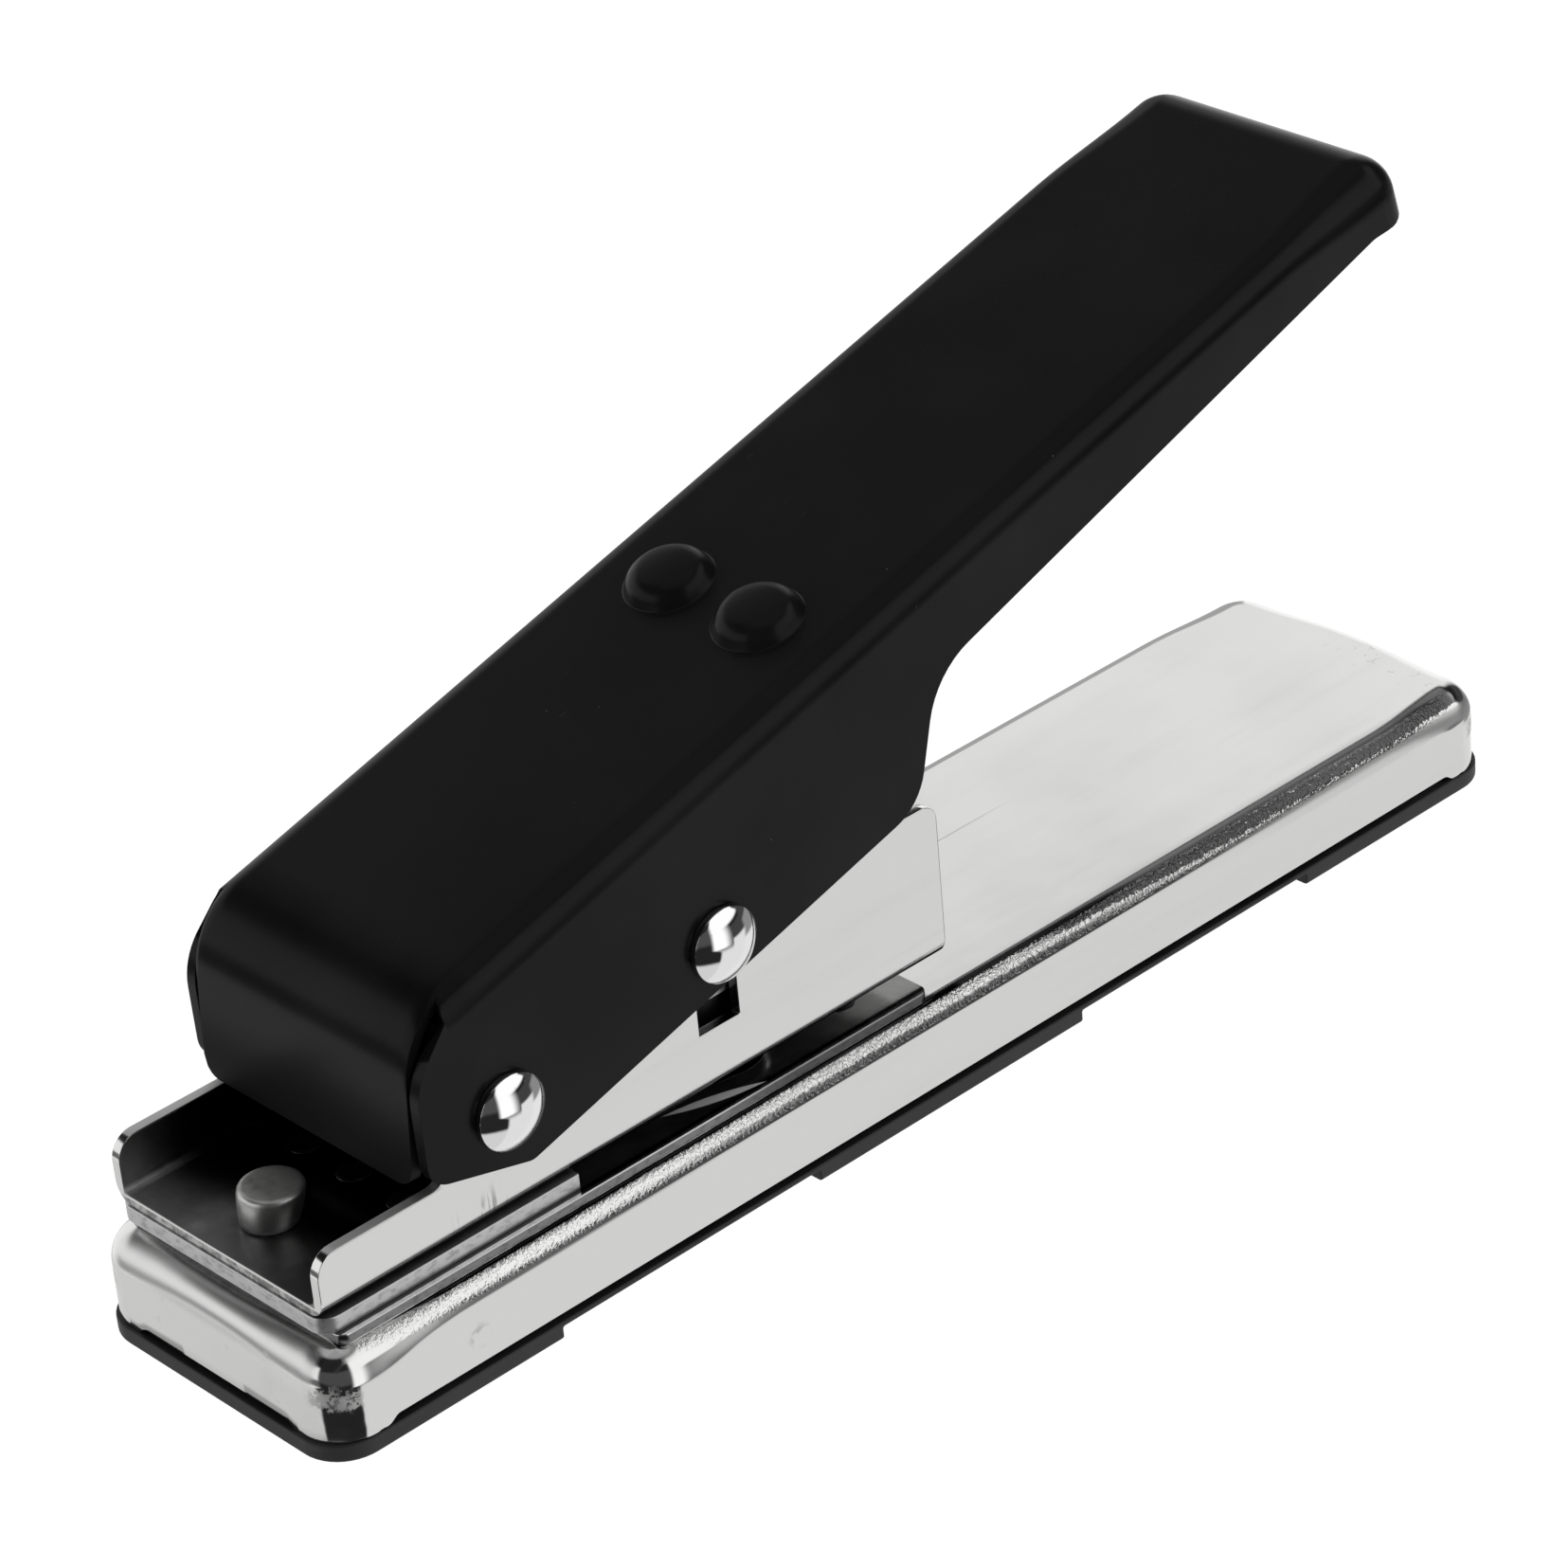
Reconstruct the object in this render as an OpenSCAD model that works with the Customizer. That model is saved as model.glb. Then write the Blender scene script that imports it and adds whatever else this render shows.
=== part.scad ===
// Guitar pick punch: a hand lever presses a pick-shaped punch through a die plate,
// and the cut picks fall into a hollow base that lifts off its plastic tray.
// Millimetres. X runs from the stud end to the grip end, Z is up, and the origin
// lies under the middle of the base, on the surface that the tray stands on.

/* [Pick] */
// Width of the pick that is cut
pick_w = 26; // [24:0.5:28]
// Length of the pick that is cut
pick_l = 30; // [28:0.5:32]
// Radius of the pick's point
pick_tip_r = 2.6; // [2:0.1:4]
// Radius of the pick's two shoulders
pick_shoulder_r = 5.5; // [4:0.1:6.5]
// Radius of the pick's bowed sides and back
pick_bow_r = 40; // [32:1:80]

/* [Base shell] */
// Length of the base shell
base_l = 166.4; // [160:0.1:180]
// Height of the base shell's top above the ground
base_h = 11.8; // [10.5:0.1:14]
// Sheet thickness of the base shell
shell_t = 0.8; // [0.6:0.1:1]
// Ledge of the base shell beside the die plate
base_ledge = 1.8; // [1.5:0.1:3]
// Corner radius of the base shell, seen from above
corner_r = 5; // [3.5:0.1:6]
// Fillet round the base shell's top edge
top_fillet = 2.5; // [1.5:0.1:3]
// Length of each corner lip of the shell's lower edge
lip_l = 7; // [6:0.5:12]
// Height of the relief between the corner lips
relief_h = 0.75; // [0.4:0.05:1]

/* [Tray] */
// Height of the feet under the tray
foot_h = 1.4; // [1:0.1:1.6]
// Thickness of the tray's outer rim above the feet
rim_t = 0.6; // [0.5:0.1:1]
// Thickness of the tray's floor
tray_t = 1.3; // [1:0.1:1.6]
// Thickness of the tray's upright wall
tray_wall_t = 1.2; // [1:0.1:1.6]
// Height of the tray's upright wall above its floor
tray_wall_h = 3.3; // [2:0.1:4]
// Overhang of the rim at the long sides
rim_side = 0.15; // [0.1:0.05:0.4]
// Overhang of the rim at the two ends
rim_end = 0.4; // [0.2:0.05:0.6]
// Rounding of the feet's lower edges
foot_fillet = 0.4; // [0.3:0.1:1.2]
// Length of the front foot
front_foot_l = 28.2; // [24:0.1:36]
// Distance from the front end to the middle foot
mid_foot_x = 62.8; // [56:0.1:70]
// Length of the middle foot
mid_foot_l = 38; // [30:0.1:44]
// Length of the rear foot
rear_foot_l = 30.7; // [24:0.1:36]

/* [Die stack] */
// Thickness of the die plate
die_t = 1.2; // [1:0.1:2]
// Reach of the die plate beside the channel
die_side = 0.95; // [0.6:0.05:1.6]
// Distance from the base's front end to the die plate
die_front = 3.6; // [3:0.1:6]
// Length of channel that overhangs the die plate at the rear
die_short = 3.6; // [2:0.1:6]
// Thickness of the front spacer, which is the height of the card slot
slot_h = 1.8; // [1.4:0.1:2.4]
// Reach of the front spacer beside the channel
spacer_side = 0.05; // [0:0.05:0.6]
// Distance from the base's front end to the front spacer
spacer_front = 2.4; // [2.2:0.1:4]
// Length of the front spacer
spacer_l = 32.1; // [29:0.1:34]
// Corner radius of the front spacer
spacer_r = 2; // [1:0.1:3]
// Gap between the front spacer and the pick's point
tip_gap = 1.3; // [1:0.1:3]
// Thickness of the backing plate inside the base
backing_t = 1.5; // [1:0.1:2]
// Diameter of the front stud
stud_d = 6.1; // [5.6:0.1:8]
// Diameter of the front stud's shank
stud_shank_d = 4.6; // [4:0.1:5]
// Height of the front stud above the channel's floor
stud_h = 3.5; // [2:0.1:4.5]
// Distance from the channel's front end to the front stud
stud_x = 6.4; // [5:0.1:7]
// Diameter of the stack and die rivets
rivet_d = 3.2; // [2.5:0.1:3.6]
// Distance from the front stud to the row of stack rivets
rivet_row_x = 10.5; // [9:0.1:11]
// Spacing of the stack rivets across the channel
rivet_pitch = 7.6; // [6.5:0.1:8.5]
// Thickness of the riveted ends inside the base
clench_t = 0.8; // [0.6:0.1:1]

/* [Channel] */
// Sheet thickness of the channel
channel_t = 1.2; // [1:0.1:1.8]
// Web of channel floor beside the pick's opening
channel_web = 1.55; // [1:0.05:2]
// Distance from the base's front end to the channel
channel_front = 2.6; // [2.4:0.1:5]
// Outer bend radius of the channel
channel_bend = 2.2; // [1.9:0.1:2.6]
// Height of the low walls at the front, over the channel's underside
low_wall_h = 7.1; // [6:0.1:7.6]
// Length of the low walls
low_wall_l = 15.6; // [14:0.1:16]
// Height of the tall walls, over the channel's underside
wall_h = 18.3; // [17:0.1:20]
// Length of channel behind the springs
channel_tail = 10; // [9:0.1:14]
// Width of the wall web round the drive slot
ear_web = 3.4; // [3:0.1:5]

/* [Lever] */
// Distance from the channel's front end to the pivot
pivot_x = 23.1; // [22.5:0.1:24.5]
// Height of the pivot over the channel's underside
pivot_h = 12.75; // [12:0.05:13.5]
// Distance from the pivot to the drive pin, along the handle
lever_arm = 28.35; // [27.5:0.05:29]
// Distance of the drive pin below the pivot, square to the handle
drive_drop = 2.7; // [2:0.1:3.5]
// Angle of the handle at rest
rest_angle = 15.2; // [14:0.1:18]
// Angle that the handle turns when it is pressed
press_angle = 16; // [12:0.1:17]

/* [Handle] */
// Sheet thickness of the handle
handle_t = 1.3; // [1.2:0.1:1.6]
// Gap between the handle's cheeks and the channel
cheek_gap = 0.35; // [0.25:0.05:0.5]
// Reach of the handle behind the pivot
handle_l = 138.2; // [130:0.1:150]
// Height of the handle's roof over the pivot
roof_h = 15.6; // [15:0.1:18]
// Outer bend radius between roof and cheeks
bend_r = 3.1; // [2.6:0.1:3.6]
// Outer bend radius between roof and tip
tip_bend_r = 4; // [3:0.1:5]
// Depth of the cheeks below the pivot
cheek_drop = 7.4; // [7:0.1:8.5]
// Reach of the cheeks behind the pivot, at their lower edge
cheek_l = 55.5; // [52:0.1:60]
// Height of the grip's lower edge over the pivot, at the cheeks
grip_root_h = 4.6; // [4:0.1:6]
// Height of the grip's lower edge over the pivot, at the tip
grip_tip_h = 8.6; // [7:0.05:9]
// Depth of the tip's end wall below the grip's lower edge
tip_lip = 0.6; // [0.5:0.1:2]
// Corner radius of the tip, seen from above
tip_corner_r = 4.5; // [4:0.1:7]
// Reach of the cheeks in front of the pivot
cheek_front = 10.7; // [10:0.1:11.5]
// Outer radius of the bend between roof and front flap
flap_bend_r = 9; // [7:0.1:10]
// Lean of the front flap, from square to the roof
flap_lean = 19.3; // [15:0.1:22]
// Distance from the pivot to the line where flap and roof would meet
flap_front = 4.5; // [4:0.1:6]
// Depth of the front flap below the pivot
flap_drop = 1.3; // [0.5:0.1:1.8]
// Slit between the front flap and each cheek
flap_slit = 0.4; // [0.3:0.05:0.6]
// Corner radius of the front flap
flap_corner_r = 2.2; // [2:0.1:5]
// Diameter of the two spring domes in the roof
dome_d = 9.9; // [9.4:0.1:10.6]
// Height of the two spring domes
dome_h = 2; // [1.6:0.1:2.4]
// Rounding of the domes' upper edges
dome_fillet = 1.5; // [1:0.1:1.8]
// Wall of the two spring domes
dome_wall = 0.85; // [0.7:0.05:1]

/* [Pins] */
// Diameter of the pivot pin and the drive pin
pin_d = 4.6; // [4:0.1:5]
// Diameter of the pins' domed heads
head_d = 8.1; // [7.5:0.1:9]
// Height of the pins' domed heads
head_h = 1.8; // [1.4:0.1:2.2]
// Rim height under each domed head
head_rim = 0.35; // [0.2:0.05:0.5]
// Diameter of the washers under the riveted ends
washer_d = 9; // [8.5:0.1:10]
// Thickness of the washers
washer_t = 0.6; // [0.4:0.1:0.8]
// Diameter of the riveted ends
clench_d = 7.4; // [6.5:0.1:8]
// Wall of the pivot sleeve
sleeve_t = 1.4; // [1:0.1:1.8]

/* [Punch] */
// Height of the punch's edge over the channel's underside, at rest
punch_inset = 0.6; // [0.3:0.05:0.8]
// Length of the punch carrier
carrier_l = 22; // [20:0.1:24]
// Web of carrier over the drive pin
carrier_web = 2.2; // [1.8:0.1:3]
// Diameter of the punch screws
screw_d = 3; // [2.5:0.1:3.5]
// Distance of each punch screw from the drive slot's centre
screw_x = 7.2; // [6.8:0.1:8]
// Thread length of the punch screws in the punch
screw_bite = 5.5; // [4:0.1:7]

/* [Springs] */
// Outer diameter of the return springs
spring_d = 6.8; // [6:0.1:7]
// Wire diameter of the return springs
wire_d = 0.9; // [0.7:0.05:1]
// Number of turns of each spring
spring_turns = 11; // [8:1:13]
// Distance of each spring from the middle
spring_y = 6.4; // [6:0.1:7.5]
// Distance from the pick's back to the springs
spring_gap = 9; // [8:0.1:10]
// Thickness of the spring seat
seat_t = 1.6; // [1.2:0.1:2]
// Margin of the spring seat round the springs
seat_margin = 1.8; // [1:0.1:2.5]
// Diameter of the spring posts
post_d = 3.8; // [3.4:0.1:4]
// Diameter of the spring posts' shanks
post_shank_d = 3; // [2.5:0.1:3.2]
// Height of the spring posts over the seat
post_h = 3.5; // [2:0.1:4]

/* [Clearances] */
// Radial clearance of rivets and screws in their holes
rivet_fit = 0.03; // [0.02:0.01:0.05]
// Radial clearance of the pins in their bores
pin_fit = 0.06; // [0.03:0.01:0.08]
// Clearance of the punch in the channel floor
guide_fit = 0.2; // [0.15:0.05:0.3]
// Clearance of the punch in the die plate
die_fit = 0.08; // [0.05:0.01:0.12]
// Clearance of the pick's way down through the base shell
fall_fit = 0.9; // [0.5:0.1:1.2]
// Clearance of the drive pin in the wall slots and the carrier slot
slot_fit = 0.15; // [0.12:0.01:0.2]
// Clearance of the carrier beside the walls, and of the sleeve's ends
side_fit = 0.3; // [0.2:0.05:0.4]
// Clearance of the tray's wall inside the base shell
tray_fit = 0.2; // [0.15:0.05:0.3]
// Clearance of each spring end to its seat
spring_fit = 0.1; // [0.05:0.01:0.2]

/* [Hidden] */
$fn = 48;

// Overshoot of cutting tools, and a reach past the whole object
eps = 0.5;
far = 400;

// Widths, from the pick outwards
channel_in = pick_w + 2 * channel_web;
channel_w = channel_in + 2 * channel_t;
spacer_w = channel_w + 2 * spacer_side;
die_w = channel_w + 2 * die_side;
base_w = die_w + 2 * base_ledge;
cheek_in = channel_w + 2 * cheek_gap;
handle_w = cheek_in + 2 * handle_t;

// Heights, from the ground up
rim_z = foot_h + rim_t;
tray_floor_z = foot_h + tray_t;
shell_in_z = base_h - shell_t;
backing_z = shell_in_z - backing_t;
die_z = base_h + die_t;
channel_z = die_z + slot_h;
floor_z = channel_z + channel_t;
seat_z = floor_z + seat_t;
pivot_z = channel_z + pivot_h;

// Places along the object
front = -base_l / 2;
channel_x0 = front + channel_front;
spacer_x0 = front + spacer_front;
spacer_x1 = spacer_x0 + spacer_l;
pick_x0 = spacer_x1 + tip_gap;
pick_x1 = pick_x0 + pick_l;
spring_x = pick_x1 + spring_gap;
channel_x1 = spring_x + channel_tail;
pivot_px = channel_x0 + pivot_x;
stud_px = channel_x0 + stud_x;
rivets_px = stud_px + rivet_row_x;
die_x0 = front + die_front;
die_x1 = channel_x1 - die_short;

// The drive pin swings about the pivot, from rest to pressed
drive_r = norm([lever_arm, drive_drop]);
drive_a0 = rest_angle - atan2(drive_drop, lever_arm);
drive_a1 = drive_a0 - press_angle;
drive_z0 = pivot_z + drive_r * sin(drive_a0);
drive_z1 = pivot_z + drive_r * sin(drive_a1);
drive_x_low = pivot_px + drive_r * min(cos(drive_a0), cos(drive_a1));
drive_x_high = pivot_px + drive_r * (drive_a0 * drive_a1 < 0 ? 1 : max(cos(drive_a0), cos(drive_a1)));
drive_px = pivot_px + drive_r * cos(drive_a0);
slot_x = (drive_x_low + drive_x_high) / 2;
slot_l = drive_x_high - drive_x_low + pin_d + 2 * slot_fit;
stroke = drive_z0 - drive_z1;
ear_l = slot_l + 2 * ear_web;
ear_z = drive_z0 + pin_d / 2 + slot_fit + ear_web;

// The punch hangs on the drive pin
punch_z0 = channel_z + punch_inset;
carrier_z0 = floor_z + stroke + side_fit;
carrier_z1 = drive_z0 + pin_d / 2 + slot_fit + carrier_web;
screw_head_d = 1.8 * screw_d;
screw_head_h = screw_d;
screw_head_z = carrier_z1 - screw_head_h;

// Handle outline, with u along the roof, v square to it and the pivot at the origin
roof_in = roof_h - handle_t;
notch_u = -2.5;
notch_v = roof_h - 2.1;
tip_root_u = handle_l - 6.7;
flap_slope = tan(flap_lean);
flap_w = cheek_in - 2 * flap_slit;

// Springs run from the seat to the domes, which pass over the seat as the handle turns
dome_in_v = roof_in + dome_h;
pressed_angle = rest_angle - press_angle;
dome_u = (2 * (spring_x - pivot_px) + dome_in_v * (sin(rest_angle) + sin(pressed_angle)))
    / (cos(rest_angle) + cos(pressed_angle));
spring_foot = [spring_x, seat_z];
spring_head = [pivot_px, pivot_z] + on_handle(dome_u, dome_in_v);
spring_mean_r = (spring_d - wire_d) / 2;
spring_lean = atan2(spring_foot[0] - spring_head[0], spring_head[1] - spring_foot[1]);
spring_low = wire_d / 2 + spring_fit + spring_mean_r * abs(sin(spring_lean));
spring_high = wire_d / 2 + spring_fit + spring_mean_r * abs(sin(rest_angle - spring_lean));
rings_per_turn = 8;
wire_sides = 6;

// Finishes, as the object shows them
paint = "#232323";
nickel = "#d5d7d9";
steel = "#8d8f92";
plastic = "#35363a";

// Shape helpers

function flat(p) = [p[0], p[1]];
function unit(v) = v / norm(v);
function on_handle(u, v) = [
    u * cos(rest_angle) - v * sin(rest_angle), u * sin(rest_angle) + v * cos(rest_angle)
];

// One corner b between a and c, rounded to the radius that b holds as its third number
function corner(a, b, c, steps) =
    b[2] == undef || b[2] == 0 ? [flat(b)] :
    let (
        back = unit(flat(a) - flat(b)),
        ahead = unit(flat(c) - flat(b)),
        half = acos(back * ahead) / 2,
        middle = flat(b) + unit(back + ahead) * b[2] / sin(half),
        start = flat(b) + back * b[2] / tan(half) - middle,
        turn = back[0] * ahead[1] - back[1] * ahead[0] < 0 ? 180 - 2 * half : 2 * half - 180,
        angle = atan2(start[1], start[0])
    )
    [for (k = [0 : steps]) middle + b[2] * [cos(angle + turn * k / steps), sin(angle + turn * k / steps)]];

// Closed outline through corners [x, y, radius]
function rounded(pts, steps = 7) = [
    for (i = [0 : len(pts) - 1])
        each corner(pts[(i + len(pts) - 1) % len(pts)], pts[i], pts[(i + 1) % len(pts)], steps)
];

function rectangle(x0, x1, w, r) = [[x0, -w / 2, r], [x1, -w / 2, r], [x1, w / 2, r], [x0, w / 2, r]];

// Centre of the bowed arc that runs anticlockwise from corner circle a to corner circle b
function bow_centre(a, ra, b, rb) =
    let (
        gap = norm(b - a),
        along = (gap * gap + pow(pick_bow_r - ra, 2) - pow(pick_bow_r - rb, 2)) / (2 * gap),
        rise = sqrt(pow(pick_bow_r - ra, 2) - along * along),
        way = (b - a) / gap
    )
    a + along * way + rise * [-way[1], way[0]];

function angle_of(v) = atan2(v[1], v[0]);

// Points of an arc after its first one
function arc(c, r, a0, a1, steps) = [
    for (k = [1 : steps]) c + r * [cos(a0 + (a1 - a0) * k / steps), sin(a0 + (a1 - a0) * k / steps)]
];

// Pick outline, point towards the front, grown by a clearance
function pick_outline(grow) =
    let (
        tip = [pick_x0 + pick_tip_r, 0],
        sh_y = pick_w / 2 - pick_shoulder_r,
        bow_in = pick_bow_r - pick_shoulder_r,
        sh_x = pick_x1 - pick_bow_r + sqrt(bow_in * bow_in - sh_y * sh_y),
        low = [sh_x, -sh_y],
        high = [sh_x, sh_y],
        side = bow_centre(tip, pick_tip_r, low, pick_shoulder_r),
        back = [pick_x1 - pick_bow_r, 0],
        a_tip = angle_of(tip - side),
        a_low = angle_of(low - side),
        a_back = angle_of(low - back),
        half = concat(
            [[pick_x0 - grow, 0]],
            arc(tip, pick_tip_r + grow, -180, a_tip, 4),
            arc(side, pick_bow_r + grow, a_tip, a_low, 8),
            arc(low, pick_shoulder_r + grow, a_low, a_back, 6),
            arc(back, pick_bow_r + grow, a_back, 0, 4)
        ),
        n = len(half)
    )
    concat(half, [for (k = [n - 2 : -1 : 1]) [half[k][0], -half[k][1]]]);

// Side view outline to a solid across the object
module across(w) rotate([90, 0, 0]) linear_extrude(w, center = true) children();

// End view outline to a solid along the object
module along(x0, x1) translate([x0, 0, 0]) rotate([90, 0, 90]) linear_extrude(x1 - x0) children();

// Plan view outline to a plate
module plate(z0, z1) translate([0, 0, z0]) linear_extrude(z1 - z0) children();

// Upright round bar, and a round bar across the object
module bar(d, z0, z1) translate([0, 0, z0]) cylinder(d = d, h = z1 - z0);
module cross_bar(d, y0, y1) translate([0, y0, 0]) rotate([-90, 0, 0]) cylinder(d = d, h = y1 - y0);

// Upright profile of a wall of height h with its outer upper edge rounded by f
module edge_profile(r, h, f) {
    square([r, h - f]);
    square([r - f, h]);
    translate([r - f, h - f]) intersection() {
        circle(f);
        square(f);
    }
}

// Block with round corners and a rounded upper edge, standing on z = 0
module soft_block(l, w, h, r, f) {
    for (sx = [-1, 1], sy = [-1, 1])
        translate([sx * (l / 2 - r), sy * (w / 2 - r), 0]) rotate_extrude() edge_profile(r, h, f);
    for (s = [0, 1]) mirror([s, 0, 0]) across(w - 2 * r) edge_profile(l / 2, h, f);
    for (s = [0, 1]) mirror([0, s, 0]) along(-l / 2 + r, l / 2 - r) edge_profile(w / 2, h, f);
}

// Shallow dome of diameter d and height h on z = 0
module cap(d, h) {
    r = (h * h + d * d / 4) / (2 * h);
    intersection() {
        translate([0, 0, h - r]) sphere(r);
        cylinder(d = d, h = h);
    }
}

// Puts a piece drawn in the handle's own axes where the handle is at rest
module at_handle() translate([pivot_px, 0, pivot_z]) rotate([0, -rest_angle, 0]) children();

// Places of the fasteners
module at_stud() translate([stud_px, 0, 0]) children();
module at_stack_rivets() for (k = [-1 : 1]) translate([rivets_px, k * rivet_pitch, 0]) children();
module at_springs() for (s = [-1, 1]) translate([spring_x, s * spring_y, 0]) children();
module at_die_rivets()
    for (s = [-1, 1]) translate([(pick_x1 + die_x1) / 2, s * (channel_in / 2 - rivet_d), 0]) children();
module at_screws() for (s = [-1, 1]) translate([slot_x + s * screw_x, 0, 0]) children();

// Handle

// Side outline of the cheeks, the grip's sides and the tip
module cheek_outline() {
    front_u = -cheek_front;
    tip_v = grip_tip_h - tip_lip;
    polygon(rounded([
        [notch_u, notch_v],
        [front_u + 2.8, notch_v - 3.5, 3.5],
        [front_u, -1, 2],
        [0.4, -cheek_drop, 2],
        [cheek_l, -cheek_drop, 6],
        [cheek_l + 6.8, grip_root_h, 9],
        [tip_root_u, grip_tip_h, 3],
        [tip_root_u + 3.6, tip_v, 2],
        [handle_l, tip_v],
        [handle_l, roof_h - tip_bend_r],
        [notch_u, roof_h - tip_bend_r]
    ]));
}

// Side outline of all that lies under the roof and behind the flap, taken in by a wall t
module roof_outline(t) {
    low = t > 0 ? -far : -flap_drop;
    flap_u = -flap_front + t / cos(flap_lean);
    polygon(rounded([
        [flap_u - (roof_h - low) * flap_slope, low],
        [handle_l - t, low],
        [handle_l - t, roof_h - t, tip_bend_r - t],
        [flap_u - t * flap_slope, roof_h - t, flap_bend_r - t]
    ]));
}

// Side outline of the roof, down to where the bends meet the cheeks
module roof_band() {
    intersection() {
        roof_outline(0);
        translate([notch_u, roof_h - tip_bend_r - 1]) square(far);
    }
}

// End view of the handle, and its view from above
module handle_section(w, h, r)
    polygon(rounded([[-w / 2, -far], [w / 2, -far], [w / 2, h, r], [-w / 2, h, r]]));
module handle_plan(w, l, r)
    polygon(rounded([[-far, -w / 2], [l, -w / 2, r], [l, w / 2, r], [-far, w / 2]]));

// Roof, cheeks and tip, hollow underneath and open at the front
module handle_channel() {
    difference() {
        intersection() {
            union() {
                across(far) cheek_outline();
                across(far) roof_band();
            }
            along(-far, far) handle_section(handle_w, roof_h, bend_r);
            plate(-far, far) handle_plan(handle_w, handle_l, tip_corner_r);
        }
        intersection() {
            across(far) roof_outline(handle_t);
            along(-far, far) handle_section(cheek_in, roof_in, bend_r - handle_t);
            plate(-far, far) handle_plan(cheek_in, handle_l - handle_t, tip_corner_r - handle_t);
        }
        translate([notch_u - far, -cheek_in / 2, -far]) cube([far, cheek_in, 2 * far]);
    }
}

// Front flap, which hangs from the roof between the cheeks
module handle_flap() {
    intersection() {
        across(flap_w) difference() {
            roof_outline(0);
            roof_outline(handle_t);
            translate([notch_u + eps, -far]) square(2 * far);
        }
        along(-far, far) polygon(rounded([
            [-flap_w / 2, -flap_drop, flap_corner_r],
            [flap_w / 2, -flap_drop, flap_corner_r],
            [flap_w / 2, far],
            [-flap_w / 2, far]
        ]));
    }
}

module at_domes() for (s = [-1, 1]) translate([dome_u, s * spring_y, roof_in]) children();

module handle() color(paint) at_handle() {
    difference() {
        union() {
            handle_channel();
            handle_flap();
            at_domes() rotate_extrude() edge_profile(dome_d / 2, dome_h + handle_t, dome_fillet);
        }
        at_domes() bar(dome_d - 2 * dome_wall, -eps, dome_h);
        cross_bar(pin_d + 2 * pin_fit, -far, far);
        translate([lever_arm, 0, -drive_drop]) cross_bar(pin_d + 2 * pin_fit, -far, far);
    }
}

// Pins

// Rivet across the handle: domed head on the near side, riveted end on the far side
module cross_pin() {
    half = handle_w / 2;
    translate([0, -half, 0]) rotate([90, 0, 0]) {
        cylinder(d = head_d, h = head_rim);
        translate([0, 0, head_rim]) cap(head_d, head_h - head_rim);
    }
    cross_bar(pin_d, -half, half + washer_t);
    translate([0, half + washer_t, 0]) rotate([-90, 0, 0]) cap(clench_d, head_h - washer_t);
}

module cross_washer() {
    half = handle_w / 2;
    difference() {
        cross_bar(washer_d, half, half + washer_t);
        cross_bar(pin_d + 2 * pin_fit, half - eps, half + washer_t + eps);
    }
}

module at_drive() at_handle() translate([lever_arm, 0, -drive_drop]) children();

module pivot_pin() color(nickel) at_handle() cross_pin();
module pivot_washer() color(nickel) at_handle() cross_washer();
module drive_pin() color(nickel) at_drive() cross_pin();
module drive_washer() color(nickel) at_drive() cross_washer();

module pivot_sleeve() color(steel) translate([pivot_px, 0, pivot_z]) difference() {
    bore = pin_d + 2 * pin_fit;
    cross_bar(bore + 2 * sleeve_t, -channel_in / 2, channel_in / 2);
    cross_bar(bore, -far, far);
}

// Punch

module screw_hole(z0) bar(screw_d + 2 * rivet_fit, z0, far);

module punch_carrier() color(steel) difference() {
    translate([slot_x - carrier_l / 2, -channel_in / 2 + side_fit, carrier_z0])
        cube([carrier_l, channel_in - 2 * side_fit, carrier_z1 - carrier_z0]);
    slot_h_in = pin_d + 2 * slot_fit;
    for (s = [-1, 1]) translate([slot_x + s * (slot_l - slot_h_in) / 2, 0, drive_z0])
        cross_bar(slot_h_in, -far, far);
    translate([slot_x - (slot_l - slot_h_in) / 2, -far, drive_z0 - slot_h_in / 2])
        cube([slot_l - slot_h_in, 2 * far, slot_h_in]);
    at_screws() screw_hole(-far);
    at_screws() bar(screw_head_d + 1, screw_head_z, far);
}

module pick_punch() color(steel) difference() {
    plate(punch_z0, carrier_z0) polygon(pick_outline(0));
    at_screws() screw_hole(carrier_z0 - screw_bite - eps);
}

module punch_screws() color(steel) at_screws() difference() {
    union() {
        bar(screw_d, carrier_z0 - screw_bite, screw_head_z);
        bar(screw_head_d, screw_head_z, screw_head_z + screw_head_h);
    }
    translate([0, 0, screw_head_z + screw_head_h / 2]) cylinder(d = screw_d, h = far, $fn = 6);
}

// Springs

// Middle of the wire, at ring k of a spring
function wire_middle(k) =
    let (
        reach = spring_head - spring_foot,
        axis = unit([reach[0], 0, reach[1]]),
        lean = [axis[2], 0, -axis[0]],
        turned = 360 * k / rings_per_turn,
        rise = (norm(reach) - spring_low - spring_high) * k / (spring_turns * rings_per_turn)
    )
    [spring_foot[0], 0, spring_foot[1]] + axis * (spring_low + rise)
        + spring_mean_r * (lean * cos(turned) + [0, 1, 0] * sin(turned));

// Six points round the wire, at ring k
function wire_ring(k) =
    let (
        reach = spring_head - spring_foot,
        axis = unit([reach[0], 0, reach[1]]),
        lean = [axis[2], 0, -axis[0]],
        turned = 360 * k / rings_per_turn,
        out = lean * cos(turned) + [0, 1, 0] * sin(turned),
        ahead = unit(wire_middle(k + 0.5) - wire_middle(k - 0.5)),
        up = cross(ahead, out)
    )
    [for (s = [0 : wire_sides - 1])
        wire_middle(k) + wire_d / 2 * (out * cos(360 * s / wire_sides) + up * sin(360 * s / wire_sides))];

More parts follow.
